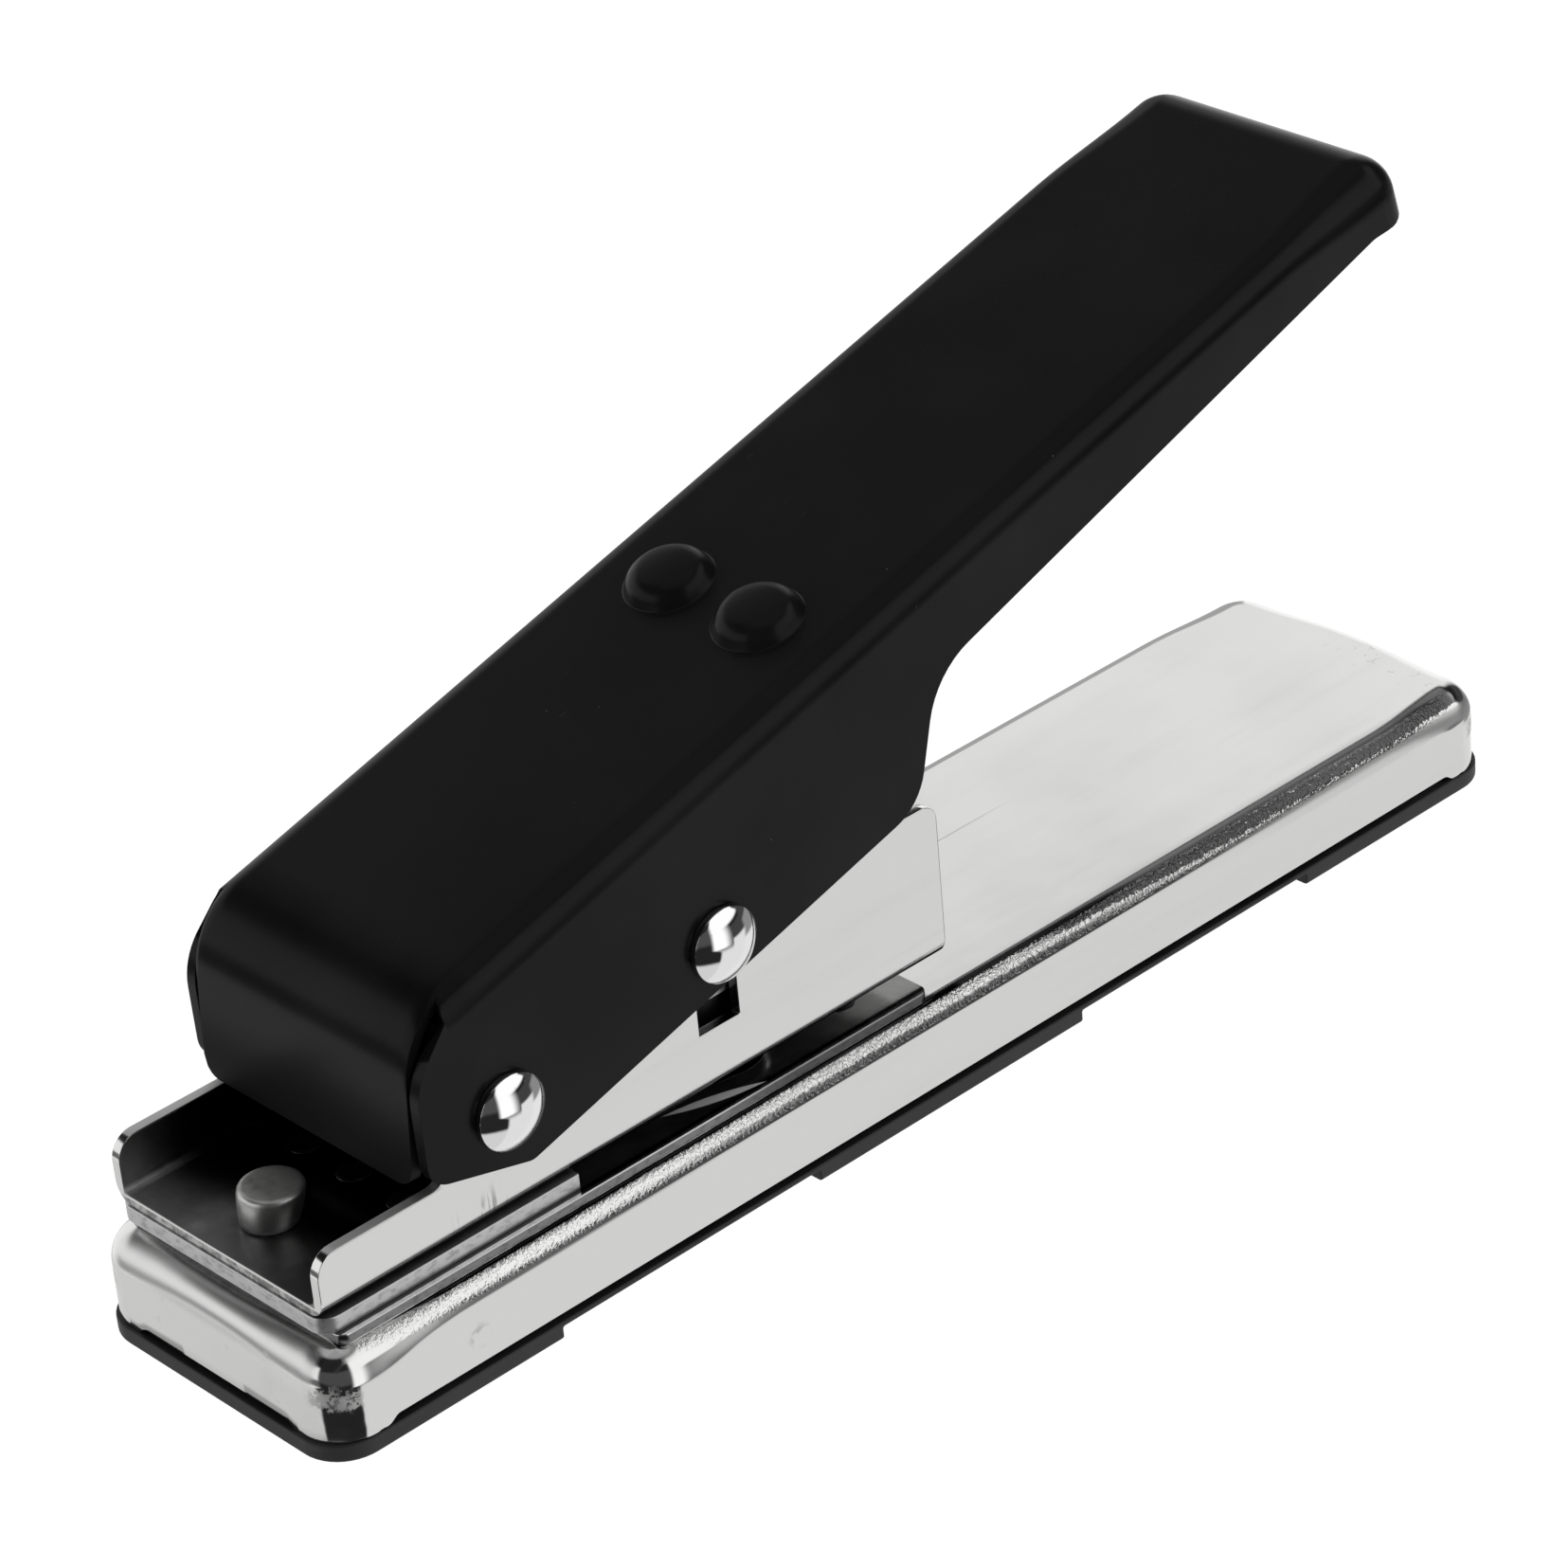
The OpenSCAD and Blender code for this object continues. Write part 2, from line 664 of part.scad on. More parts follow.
wire_rings = spring_turns * rings_per_turn;
spring_gap_least = min([
    for (a = [0 : wire_rings], b = [a + 6 : 1 : min(wire_rings, a + 2 * rings_per_turn)])
        norm(wire_middle(a) - wire_middle(b))
]) - wire_d;
echo(spring_gap_to_itself = spring_gap_least);

module spring(side) {
    points = [for (k = [0 : wire_rings]) each wire_ring(k)];
    n = wire_sides;
    walls = [
        for (k = [0 : wire_rings - 1], s = [0 : n - 1])
            let (a = k * n + s, b = k * n + (s + 1) % n)
            each [[a, b + n, b], [a, a + n, b + n]]
    ];
    last = wire_rings * n;
    start = [for (s = [1 : n - 2]) [0, s, s + 1]];
    end = [for (s = [1 : n - 2]) [last, last + s + 1, last + s]];
    translate([0, side * spring_y, 0]) polyhedron(points, concat(walls, start, end));
}

module return_spring_near() color(steel) spring(-1);
module return_spring_far() color(steel) spring(1);

module spring_seat() color(steel) difference() {
    half = spring_d / 2 + seat_margin;
    translate([spring_x - half, -spring_y - half, floor_z])
        cube([2 * half, 2 * (spring_y + half), seat_t]);
    at_springs() bar(post_shank_d + 2 * rivet_fit, -far, far);
}

module spring_posts() color(steel) at_springs() {
    bar(post_shank_d, channel_z, seat_z);
    bar(post_d, seat_z, seat_z + post_h);
}

// Channel

module channel_side() {
    wall_z = channel_z + wall_h;
    low_z = channel_z + low_wall_h;
    polygon(rounded([
        [channel_x0, channel_z],
        [channel_x1, channel_z],
        [channel_x1, wall_z, 2],
        [slot_x + ear_l / 2 + 4, wall_z, 2],
        [slot_x + ear_l / 2, ear_z, 2.5],
        [slot_x - ear_l / 2, ear_z, 2.5],
        [slot_x - ear_l / 2 - 4, wall_z, 2],
        [pivot_px - 3, wall_z, 2.5],
        [channel_x0 + low_wall_l, low_z, 2],
        [channel_x0, low_z, 2.6]
    ]));
}

module channel_section() {
    difference() {
        polygon(rounded([
            [-channel_w / 2, far],
            [-channel_w / 2, channel_z, channel_bend],
            [channel_w / 2, channel_z, channel_bend],
            [channel_w / 2, far]
        ]));
        polygon(rounded([
            [-channel_in / 2, far + eps],
            [-channel_in / 2, floor_z, channel_bend - channel_t],
            [channel_in / 2, floor_z, channel_bend - channel_t],
            [channel_in / 2, far + eps]
        ]));
    }
}

module channel_frame() color(nickel) difference() {
    intersection() {
        along(channel_x0, channel_x1) channel_section();
        across(far) channel_side();
    }
    plate(channel_z - eps, floor_z + eps) polygon(pick_outline(guide_fit));
    translate([pivot_px, 0, pivot_z]) cross_bar(pin_d + 2 * pin_fit, -far, far);
    translate([slot_x - slot_l / 2, -far, drive_z1 - pin_d / 2 - slot_fit])
        cube([slot_l, 2 * far, stroke + pin_d + 2 * slot_fit]);
    at_stud() bar(stud_shank_d + 2 * rivet_fit, -far, far);
    at_stack_rivets() bar(rivet_d + 2 * rivet_fit, -far, far);
    at_springs() bar(post_shank_d + 2 * rivet_fit, -far, far);
}

// Die stack

module stack_holes() {
    at_stud() bar(stud_shank_d + 2 * rivet_fit, -far, far);
    at_stack_rivets() bar(rivet_d + 2 * rivet_fit, -far, far);
}

module front_spacer() color(nickel) difference() {
    plate(die_z, channel_z) polygon(rounded([
        [spacer_x0, -spacer_w / 2, spacer_r],
        [spacer_x1, -spacer_w / 2],
        [spacer_x1, spacer_w / 2],
        [spacer_x0, spacer_w / 2, spacer_r]
    ]));
    stack_holes();
}

module die_plate() color(nickel) difference() {
    plate(base_h, die_z) polygon(rounded(rectangle(die_x0, die_x1, die_w, 1.2)));
    plate(base_h - eps, die_z + eps) polygon(pick_outline(die_fit));
    stack_holes();
    at_die_rivets() bar(rivet_d + 2 * rivet_fit, -far, far);
}

module backing_plate() color(steel) difference() {
    plate(backing_z, shell_in_z) polygon(rounded(rectangle(die_x0, spacer_x1 - 2, channel_in - 4, 2)));
    stack_holes();
}

module front_stud() color(steel) at_stud() {
    bar(stud_d, floor_z, floor_z + stud_h);
    bar(stud_shank_d, backing_z, floor_z);
    bar(stud_d, backing_z - clench_t, backing_z);
}

module stack_rivets() color(steel) at_stack_rivets() {
    translate([0, 0, floor_z]) cap(rivet_d * 1.3, 0.35);
    bar(rivet_d, backing_z, floor_z);
    bar(rivet_d * 1.7, backing_z - clench_t, backing_z);
}

module die_rivets() color(steel) at_die_rivets() {
    bar(rivet_d, shell_in_z, die_z);
    bar(rivet_d * 1.7, shell_in_z - clench_t, shell_in_z);
}

// Base

module base_shell() color(nickel) difference() {
    translate([0, 0, rim_z]) soft_block(base_l, base_w, base_h - rim_z, corner_r, top_fillet);
    translate([0, 0, rim_z - eps]) soft_block(
        base_l - 2 * shell_t, base_w - 2 * shell_t, shell_in_z - rim_z + eps,
        corner_r - shell_t, top_fillet - shell_t
    );
    for (size = [[base_l - 2 * lip_l, 2 * base_w], [2 * base_l, base_w - 2 * lip_l]])
        translate([-size[0] / 2, -size[1] / 2, rim_z - eps]) cube([size[0], size[1], relief_h + eps]);
    plate(shell_in_z - eps, base_h + eps) polygon(pick_outline(fall_fit));
    stack_holes();
    at_die_rivets() bar(rivet_d + 2 * rivet_fit, -far, far);
}

module tray_gap(x0, x1) translate([x0, -base_w, -eps]) cube([x1 - x0, 2 * base_w, foot_h + eps]);

module bottom_tray() color(plastic) {
    inset = shell_t + tray_fit;
    half = base_l / 2 - inset;
    difference() {
        translate([0, 0, rim_z]) mirror([0, 0, 1])
            soft_block(base_l + 2 * rim_end, base_w + 2 * rim_side, rim_z, corner_r, foot_fillet);
        tray_gap(front + front_foot_l, front + mid_foot_x);
        tray_gap(front + mid_foot_x + mid_foot_l, front + base_l - rear_foot_l);
    }
    difference() {
        plate(foot_h, tray_floor_z + tray_wall_h)
            polygon(rounded(rectangle(-half, half, base_w - 2 * inset, corner_r - inset)));
        plate(tray_floor_z, far) polygon(rounded(rectangle(
            -half + tray_wall_t, half - tray_wall_t, base_w - 2 * (inset + tray_wall_t),
            corner_r - inset - tray_wall_t
        )));
    }
}

echo(pivot = [pivot_px, 0, pivot_z], stroke = stroke, slot = [slot_x, slot_l]);
echo(drive = [drive_px, drive_z0, drive_z1]);
echo(spring_foot = spring_foot, spring_head = spring_head, dome_u = dome_u);
echo(widths = [base_w, die_w, channel_w, channel_in, handle_w]);
echo(carrier = [carrier_z0, carrier_z1], ear = [ear_l, ear_z]);
echo(xs = [front, channel_x0, pick_x0, pick_x1, spring_x, channel_x1, die_x1]);

handle();
pivot_pin();
pivot_washer();
pivot_sleeve();
drive_pin();
drive_washer();
punch_carrier();
pick_punch();
punch_screws();
return_spring_near();
return_spring_far();
spring_seat();
spring_posts();
channel_frame();
front_spacer();
front_stud();
stack_rivets();
die_plate();
die_rivets();
backing_plate();
base_shell();
bottom_tray();
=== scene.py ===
"""Guitar pick punch in a plain studio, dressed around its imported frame.

Sizes are in millimetres in the frame's own axes: X from the stud end to the grip end, Y across, Z up.
"""

import logging
import math
from dataclasses import dataclass, field
from enum import Enum
from typing import Any, Callable, Optional, Sequence, Union

import bmesh
import bpy
from mathutils import Matrix, Vector


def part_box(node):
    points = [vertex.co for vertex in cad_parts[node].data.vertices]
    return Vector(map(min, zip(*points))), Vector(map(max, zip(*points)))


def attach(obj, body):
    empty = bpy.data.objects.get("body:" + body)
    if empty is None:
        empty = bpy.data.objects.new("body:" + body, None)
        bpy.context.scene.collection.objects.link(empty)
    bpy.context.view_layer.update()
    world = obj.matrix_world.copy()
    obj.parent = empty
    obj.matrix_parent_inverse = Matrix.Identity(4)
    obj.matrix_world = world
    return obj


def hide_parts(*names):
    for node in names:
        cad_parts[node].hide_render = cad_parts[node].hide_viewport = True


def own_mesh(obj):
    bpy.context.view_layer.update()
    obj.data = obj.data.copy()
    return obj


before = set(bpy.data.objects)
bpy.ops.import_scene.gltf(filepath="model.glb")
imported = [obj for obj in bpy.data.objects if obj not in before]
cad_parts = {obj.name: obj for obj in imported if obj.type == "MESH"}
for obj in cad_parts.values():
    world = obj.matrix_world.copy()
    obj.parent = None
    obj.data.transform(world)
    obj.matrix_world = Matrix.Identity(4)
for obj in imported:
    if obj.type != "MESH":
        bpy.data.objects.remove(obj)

LOG = logging.getLogger("pick_punch")
MM = 0.001
TINY = 1e-6
Point2 = tuple[float, float]
Point3 = tuple[float, float, float]
Colour = tuple[float, float, float]


class Body(Enum):
    """Bodies of the frame that pieces ride on."""

    TRAY = "tray"
    FRAME = "frame"
    HANDLE = "handle"
    PUNCH = "punch"


class Slot(Enum):
    """Material slots."""

    PAINT = "black_paint"
    NICKEL = "nickel_plate"
    CHROME = "chrome_steel"
    STEEL = "plain_steel"
    TOOL = "tool_steel"
    WIRE = "spring_steel"
    PLASTIC = "charcoal_plastic"


class Axis(Enum):
    """Axis that a turned piece is turned about."""

    ACROSS = "y"
    UP = "z"


# Shader maths


class Val:
    """One output socket of a node tree, with arithmetic that adds Math nodes."""

    def __init__(self, sheet: "NodeSheet", socket: bpy.types.NodeSocket) -> None:
        """Keeps the socket and the sheet it belongs to."""
        self.sheet = sheet
        self.socket = socket

    def math(self, operation: str, *others: Union["Val", float], flip: bool = False) -> "Val":
        """Adds one Math node.

        Args:
            operation: The Math node's operation.
            others: Its further operands.
            flip: Whether this value is the second operand.

        Returns:
            The node's result.
        """
        operands = [*others, self] if flip else [self, *others]
        return self.sheet.make("ShaderNodeMath", {"operation": operation}, dict(enumerate(operands)))

    def __add__(self, other: Union["Val", float]) -> "Val":
        """Sum."""
        return self.math("ADD", other)

    def __radd__(self, other: float) -> "Val":
        """Sum with a number on the left."""
        return self.math("ADD", other, flip=True)

    def __sub__(self, other: Union["Val", float]) -> "Val":
        """Difference."""
        return self.math("SUBTRACT", other)

    def __rsub__(self, other: float) -> "Val":
        """Difference from a number."""
        return self.math("SUBTRACT", other, flip=True)

    def __mul__(self, other: Union["Val", float]) -> "Val":
        """Product."""
        return self.math("MULTIPLY", other)

    def __rmul__(self, other: float) -> "Val":
        """Product with a number on the left."""
        return self.math("MULTIPLY", other, flip=True)

    def __truediv__(self, other: Union["Val", float]) -> "Val":
        """Quotient."""
        return self.math("DIVIDE", other)

    def __abs__(self) -> "Val":
        """Size without its sign."""
        return self.math("ABSOLUTE")

    def above(self, limit: float) -> "Val":
        """1 where the value is over the limit, else 0."""
        return self.math("GREATER_THAN", limit)

    def step(self, low: float, high: float) -> "Val":
        """Smooth step.

        Args:
            low: Value that gives 0.
            high: Value that gives 1, which may be below low.

        Returns:
            The stepped value, from 0 to 1.
        """
        if high < low:
            return 1.0 - self.step(high, low)
        settings = {"interpolation_type": "SMOOTHSTEP"}
        return self.sheet.make("ShaderNodeMapRange", settings, {"Value": self, 1: low, 2: high})

    def blend(self, other: "Val", share: "Val") -> "Val":
        """Value between this one and another."""
        return self + (other - self) * share


class NodeSheet:
    """A node tree that is being written."""

    def __init__(self, tree: bpy.types.NodeTree) -> None:
        """Empties the tree.

        Args:
            tree: Tree of a material or of the world.
        """
        self.tree = tree
        tree.nodes.clear()

    def make(
        self,
        kind: str,
        settings: Optional[dict[str, Any]] = None,
        inputs: Optional[dict[Union[str, int], Any]] = None,
        out: Union[str, int, None] = 0,
    ) -> Optional[Val]:
        """Adds a node.

        Args:
            kind: The node's type.
            settings: Its own settings, set first.
            inputs: Values or links of its sockets, by name or number.
            out: The output wanted, or None for a node that ends the tree.

        Returns:
            That output, if there is one.
        """
        node = self.tree.nodes.new(kind)
        for name, value in (settings or {}).items():
            setattr(node, name, value)
        for key, value in (inputs or {}).items():
            socket = node.inputs[key]
            if isinstance(value, Val):
                self.tree.links.new(value.socket, socket)
            else:
                socket.default_value = value
        return None if out is None else Val(self, node.outputs[out])

    def millimetres(self, place: Val, axes: str = "XYZ") -> list[Val]:
        """Coordinates of a place.

        Args:
            place: Place in metres.
            axes: Letters of the axes wanted.

        Returns:
            One value in millimetres for each axis.
        """
        split = "ShaderNodeSeparateXYZ"
        return [self.make(split, None, {"Vector": place}, axis) * (1.0 / MM) for axis in axes]

    def noise(self, coords: Val, scale: float, detail: float = 3.0, rough: float = 0.5) -> Val:
        """Noise of about one feature per 1 / scale metres.

        Args:
            coords: Place.
            scale: Features per metre.
            detail: Octaves.
            rough: Weight of the finer octaves.

        Returns:
            A value around 0.5.
        """
        sockets = {"Vector": coords, "Scale": scale, "Detail": detail, "Roughness": rough}
        return self.make("ShaderNodeTexNoise", None, sockets, "Fac")

    def mapped(self, coords: Val, scale: Point3, shift: Point3 = (0, 0, 0), turn: Point3 = (0, 0, 0)) -> Val:
        """Place, moved, turned and stretched.

        Args:
            coords: Place.
            scale: Factor along each axis.
            shift: Move in metres, after the turn and the stretch.
            turn: Turn about each axis in radians.

        Returns:
            The new place.
        """
        sockets = {"Vector": coords, "Location": shift, "Rotation": turn, "Scale": scale}
        return self.make("ShaderNodeMapping", None, sockets)

    def mix(self, factor: Union[Val, float], a: Any, b: Any) -> Val:
        """Colour between a and b.

        Args:
            factor: 0 for a, 1 for b.
            a: First colour.
            b: Second colour.

        Returns:
            The mixed colour.
        """
        return self.make("ShaderNodeMix", {"data_type": "RGBA"}, {0: factor, 6: full(a), 7: full(b)}, 2)

    def specks(self, coords: Val, per_metre: float, radius: float, share: float) -> Val:
        """Sparse round specks.

        Args:
            coords: Place.
            per_metre: Cells per metre.
            radius: Speck radius in millimetres.
            share: Share of the cells that hold one.

        Returns:
            1 on a speck, 0 elsewhere.
        """
        cells = self.make("ShaderNodeTexVoronoi", None, {"Vector": coords, "Scale": per_metre}, "Distance")
        tint = Val(self, cells.socket.node.outputs["Color"])
        pick = self.make("ShaderNodeSeparateColor", None, {"Color": tint})
        reach = radius * MM * per_metre
        return cells.step(reach * 1.3, reach * 0.6) * pick.above(1.0 - share)

    def bump(self, height: Val, depth: float, strength: float = 1.0, under: Optional[Val] = None) -> Val:
        """Bumped normal.

        Args:
            height: Height, as a share of depth.
            depth: Depth in millimetres.
            strength: Strength of the effect.
            under: Normal that this one adds to.

        Returns:
            The normal.
        """
        sockets: dict[Union[str, int], Any] = {"Height": height, "Distance": depth * MM, "Strength": strength}
        if under is not None:
            sockets["Normal"] = under
        return self.make("ShaderNodeBump", None, sockets)


def full(colour: Any) -> Any:
    """Colour with an alpha.

    Args:
        colour: Three or four numbers, or a socket.

    Returns:
        Four numbers, or the socket as it is.
    """
    if isinstance(colour, Val) or len(colour) == 4:
        return colour
    return (*colour, 1.0)


def grey(level: float) -> Colour:
    """Grey of one level."""
    return (level, level, level)


def distance(a: Val, b: Val, centre: Point2) -> Val:
    """Distance of the point (a, b) from a centre."""
    da, db = a - centre[0], b - centre[1]
    return (da * da + db * db).math("SQRT")


def surface(name: str) -> tuple[bpy.types.Material, NodeSheet, Val]:
    """Starts a material.

    Args:
        name: Material name.

    Returns:
        The material, its sheet and its place in metres.
    """
    material = bpy.data.materials.new(name)
    material.use_nodes = True
    sheet = NodeSheet(material.node_tree)
    return material, sheet, sheet.make("ShaderNodeTexCoord", None, None, "Object")


def close_surface(sheet: NodeSheet, **sockets: Any) -> None:
    """Ends a material in one Principled shader.

    Args:
        sheet: The material's sheet.
        sockets: Values or links of the shader, with underscores for spaces.
    """
    named = {key.replace("_", " "): value for key, value in sockets.items()}
    shader = sheet.make("ShaderNodeBsdfPrincipled", None, named)
    sheet.make("ShaderNodeOutputMaterial", None, {"Surface": shader}, None)


# Finishes


@dataclass(frozen=True)
class BlackPaint:
    """Satin black stoving paint on the handle: fine grain, dust, and painted light that makes the roof
    lighter, most at its front.

    A pair of places says where an effect starts and where it is full.
    """

    name: str = "satin_black_paint"
    shade: float = 0.0042
    gloss: float = 0.19
    shine: float = 0.108
    # Painted light on the roof: its colour, its least share, and where it grows along and across.
    painted_light: float = 0.014
    painted_light_least: float = 0.35
    painted_light_x: Point2 = (5.0, -52.0)
    painted_light_y: Point2 = (-24.0, 16.0)
    roof_x: Point2 = (-61.5, -58.0)
    roof_y: Point2 = (17.3, 17.1)
    flap_dull: float = 0.3
    flap_x: Point2 = (-62.0, -66.0)
    flap_y: Point2 = (16.6, 16.2)
    flap_top: Point2 = (33.5, 26.0)
    flap_foot: Point2 = (19.0, 26.0)

    def material(self) -> bpy.types.Material:
        """Builds the paint.

        Returns:
            The material.
        """
        material, s, place = surface(self.name)
        grain = s.noise(place, 4200, 2.0)
        cloud = s.noise(place, 55, 3.0)
        dust = s.specks(place, 330, 0.05, 0.3)
        lint = s.noise(s.mapped(place, (40, 900, 900), turn=(0, 0.3, 0.6)), 1.0, 2.0).step(0.76, 0.80)
        x, y, z = s.millimetres(place)
        flap = x.step(*self.flap_x) * abs(y).step(*self.flap_y)
        flap = flap * z.step(*self.flap_top) * z.step(*self.flap_foot)
        # Painted light: the roof is lighter than the cheeks, and lighter still towards its front.
        roof = abs(y).step(*self.roof_y) * x.step(*self.roof_x)
        lit_front = x.step(*self.painted_light_x) * y.step(*self.painted_light_y)
        dull = roof * (self.painted_light_least + (1.0 - self.painted_light_least) * lit_front)
        colour = s.mix(cloud.step(0.35, 0.75), grey(self.shade), grey(self.shade * 2.0))
        colour = s.mix(dull, colour, grey(self.painted_light))
        colour = s.mix(dust * 0.9, colour, grey(0.35))
        colour = s.mix(lint * 0.04, colour, grey(0.2))
        rough = self.gloss + 0.07 * cloud + 0.05 * grain + 0.25 * dust + self.flap_dull * flap
        normal = s.bump(grain, 0.012, 0.35)
        close_surface(s, Base_Color=colour, Roughness=rough, Normal=normal, Specular_IOR_Level=self.shine)
        return material


@dataclass(frozen=True)
class NickelPlate:
    """Bright nickel on rolled steel sheet: soft streaks along X, haze, pits and hairlines."""

    name: str
    tint: float = 0.74
    gloss: float = 0.06
    haze: float = 0.10
    streaks: float = 0.06
    wave: float = 0.02

    def material(self) -> bpy.types.Material:
        """Builds the plating.

        Returns:
            The material.
        """
        material, s, place = surface(self.name)
        long_streak = s.noise(s.mapped(place, (14, 190, 190)), 1.0, 5.0, 0.6)
        fine_line = s.noise(s.mapped(place, (50, 2600, 2600)), 1.0, 3.0)
        cloud = s.noise(place, 48, 4.0)
        pits = s.specks(place, 130, 0.10, 0.16)
        hair = s.noise(s.mapped(place, (9, 620, 620), turn=(0.2, 0.1, 0.05)), 1.0, 1.0).step(0.735, 0.755)
        bright = (self.tint, self.tint, self.tint * 0.992)
        dull = (self.tint * 0.72, self.tint * 0.72, self.tint * 0.715)
        colour = s.mix(long_streak.step(0.5, 0.85) * (self.streaks * 4.0), bright, dull)
        colour = s.mix(pits * 0.75, colour, grey(0.16))
        colour = self.shade(s, place, colour)
        rough = self.gloss + self.haze * cloud.step(0.42, 0.75) + 0.04 * long_streak + 0.12 * hair
        rough = rough + self.dulling(s, place)
        swell = s.noise(s.mapped(place, (60, 150, 150)), 1.0, 2.0)
        normal = s.bump(swell, self.wave * 5.0, 0.25)
        normal = s.bump(fine_line, 0.003, 0.3, normal)
        normal = s.bump(self.grain(s, place), 0.03, 0.9, normal)
        normal = s.bump(1.0 - hair, 0.006, 0.4, normal)
        close_surface(s, Base_Color=colour, Metallic=1.0, Roughness=rough, Normal=normal)
        return material

    def shade(self, s: NodeSheet, place: Val, colour: Val) -> Val:
        """Colour with the piece's own marks and painted shade, if it has any."""
        return colour

    def dulling(self, s: NodeSheet, place: Val) -> Union[Val, float]:
        """Roughness that the piece's own dull places add."""
        return 0.0

    def grain(self, s: NodeSheet, place: Val) -> Val:
        """Height of the piece's own grain, from 0 to 1."""
        return s.noise(place, 2600, 2.0) * 0.06


@dataclass(frozen=True)
class ShellPlate(NickelPlate):
    """Nickel of the pressed base: orange peel on its edge, and painted shade on its near edge that grows
    towards the rear.

    A pair of places says where an effect starts and where it is full.
    """

    low: float = 10.45
    high: float = 11.45
    top: float = 11.8
    half_w: float = 18.5
    half_l: float = 83.2
    # Where the painted shade on the near edge starts and where it is full.
    shade_fade_x: Point2 = (2.0, 46.0)
    near_in: Point2 = (2.6, 2.2)
    near_end: Point2 = (80.0, 78.0)
    # Ends of the painted shade band under the orange peel.
    shade_band_front: Point2 = (-54.0, -14.0)
    shade_band_rear: Point2 = (38.0, 14.0)
    # Inset of the painted shade along the top's near edge.
    rear_top_shade_in: Point2 = (3.6, 2.3)
    haze_x: float = 27.0
    haze_reach: Point2 = (24.0, 3.0)
    wear_in: Point2 = (9.0, 4.0)
    wear_y: Point2 = (4.0, -6.0)
    # Place of the painted contact shadow on the top's edge.
    contact_shadow_x: Point2 = (2.6, 1.4)
    contact_shadow_y: Point2 = (16.2, 16.5)
    smudge: Point2 = (-65.0, 5.9)
    smudge_r: Point2 = (1.8, 0.3)
    top_dull: float = 0.05
    front_dull: float = 0.24
    rear_dull: float = 0.3
    frost_dull: Point2 = (0.12, 0.4)

    def from_side(self, y: Val, inset: Point2) -> Val:
        """Step across, counted from the near side."""
        return y.step(inset[0] - self.half_w, inset[1] - self.half_w)

    def shade(self, s: NodeSheet, place: Val, colour: Val) -> Val:
        """Paints shade on the near edge: a dark reflection band that grows towards the rear with pale specks
        left in it, a dark band under the orange peel, and a soft darkening along the top's near edge towards
        the rear.

        Args:
            s: The sheet.
            place: Place in metres.
            colour: Colour of the clean plating.

        Returns:
            The new colour.
        """
        x, y, z = s.millimetres(place)
        shade_fade = x.step(*self.shade_fade_x)
        grit = s.noise(place, 2300, 2.0)
        near = self.from_side(y, self.near_in) * x.step(*self.near_end)
        # Painted shade: a dark band low on the near fillet, under the orange peel, fading out towards the
        # front and the rear.
        darkening = (self.high - 0.55 - z + (grit - 0.5) * 0.7).step(0.0, 0.22)
        darkening = darkening * z.step(self.low - 0.3, self.low - 0.1)
        darkening = darkening * x.step(*self.shade_band_front) * x.step(*self.shade_band_rear)
        colour = s.mix(darkening * near * 0.85, colour, grey(0.07))
        # Painted shade: a soft darkening of the top along its near edge, growing towards the rear.
        rear_top_shade = self.from_side(y, self.rear_top_shade_in) * z.step(self.high, self.high + 0.3) * shade_fade
        colour = s.mix(rear_top_shade * 0.3, colour, grey(0.3))
        colour = self.marks(s, place, colour)
        # Painted reflection: a dark band on the near fillet, reaching lower towards the rear, with pale
        # specks left in it.
        floor = self.high - (self.high - self.low - 0.1) * shade_fade
        band = (z - floor + (grit - 0.5) * 0.9).step(-0.06, 0.06)
        band = band * z.step(self.high + 0.3, self.high + 0.1)
        spark = 1.0 - grit.step(0.66, 0.70) * (0.8 - 0.6 * x.step(40.0, 70.0))
        edge = s.mix(z.step(self.high - 0.1, self.high + 0.25), grey(0.06), grey(0.2))
        return s.mix(band * near * shade_fade.step(0.02, 0.3) * spark * 0.94, colour, edge)

    def marks(self, s: NodeSheet, place: Val, colour: Val) -> Val:
        """Adds the haze and the wear of the top, a painted contact shadow where the plates sit on the top,
        and the smudge on the near wall.

        Args:
            s: The sheet.
            place: Place in metres.
            colour: Colour so far.

        Returns:
            The new colour.
        """
        x, y, z = s.millimetres(place)
        flat = z.step(self.top - 0.05, self.top - 0.02)
        cloud = s.noise(s.mapped(place, (24, 60, 60)), 1.0, 4.0, 0.6).step(0.4, 0.7)
        haze = abs(x - self.haze_x).step(*self.haze_reach) * flat
        colour = s.mix(haze * (0.04 + 0.12 * cloud), colour, grey(0.42))
        worn = x.step(self.half_l - self.wear_in[0], self.half_l - self.wear_in[1]) * y.step(*self.wear_y)
        scuffs = s.noise(place, 750, 3.0, 0.7).step(0.60, 0.68)
        colour = s.mix(scuffs * worn * flat * 0.35, colour, grey(0.25))
        # Painted shadow: a dark line at the top's edges just outside the die plate, from the front back to
        # the channel's rear end.
        seam = x.step(*self.contact_shadow_x) * abs(y).step(*self.contact_shadow_y)
        seam = seam * z.step(self.top - 0.32, self.top - 0.22) * z.step(self.top - 0.02, self.top - 0.06)
        colour = s.mix(seam * 0.95, colour, grey(0.02))
        blot = distance(x, z, self.smudge).step(*self.smudge_r)
        blot = blot * s.noise(place, 800, 3.0).step(0.46, 0.62)
        return s.mix(blot * y.step(0.0, -1.0) * 0.55, colour, grey(0.25))

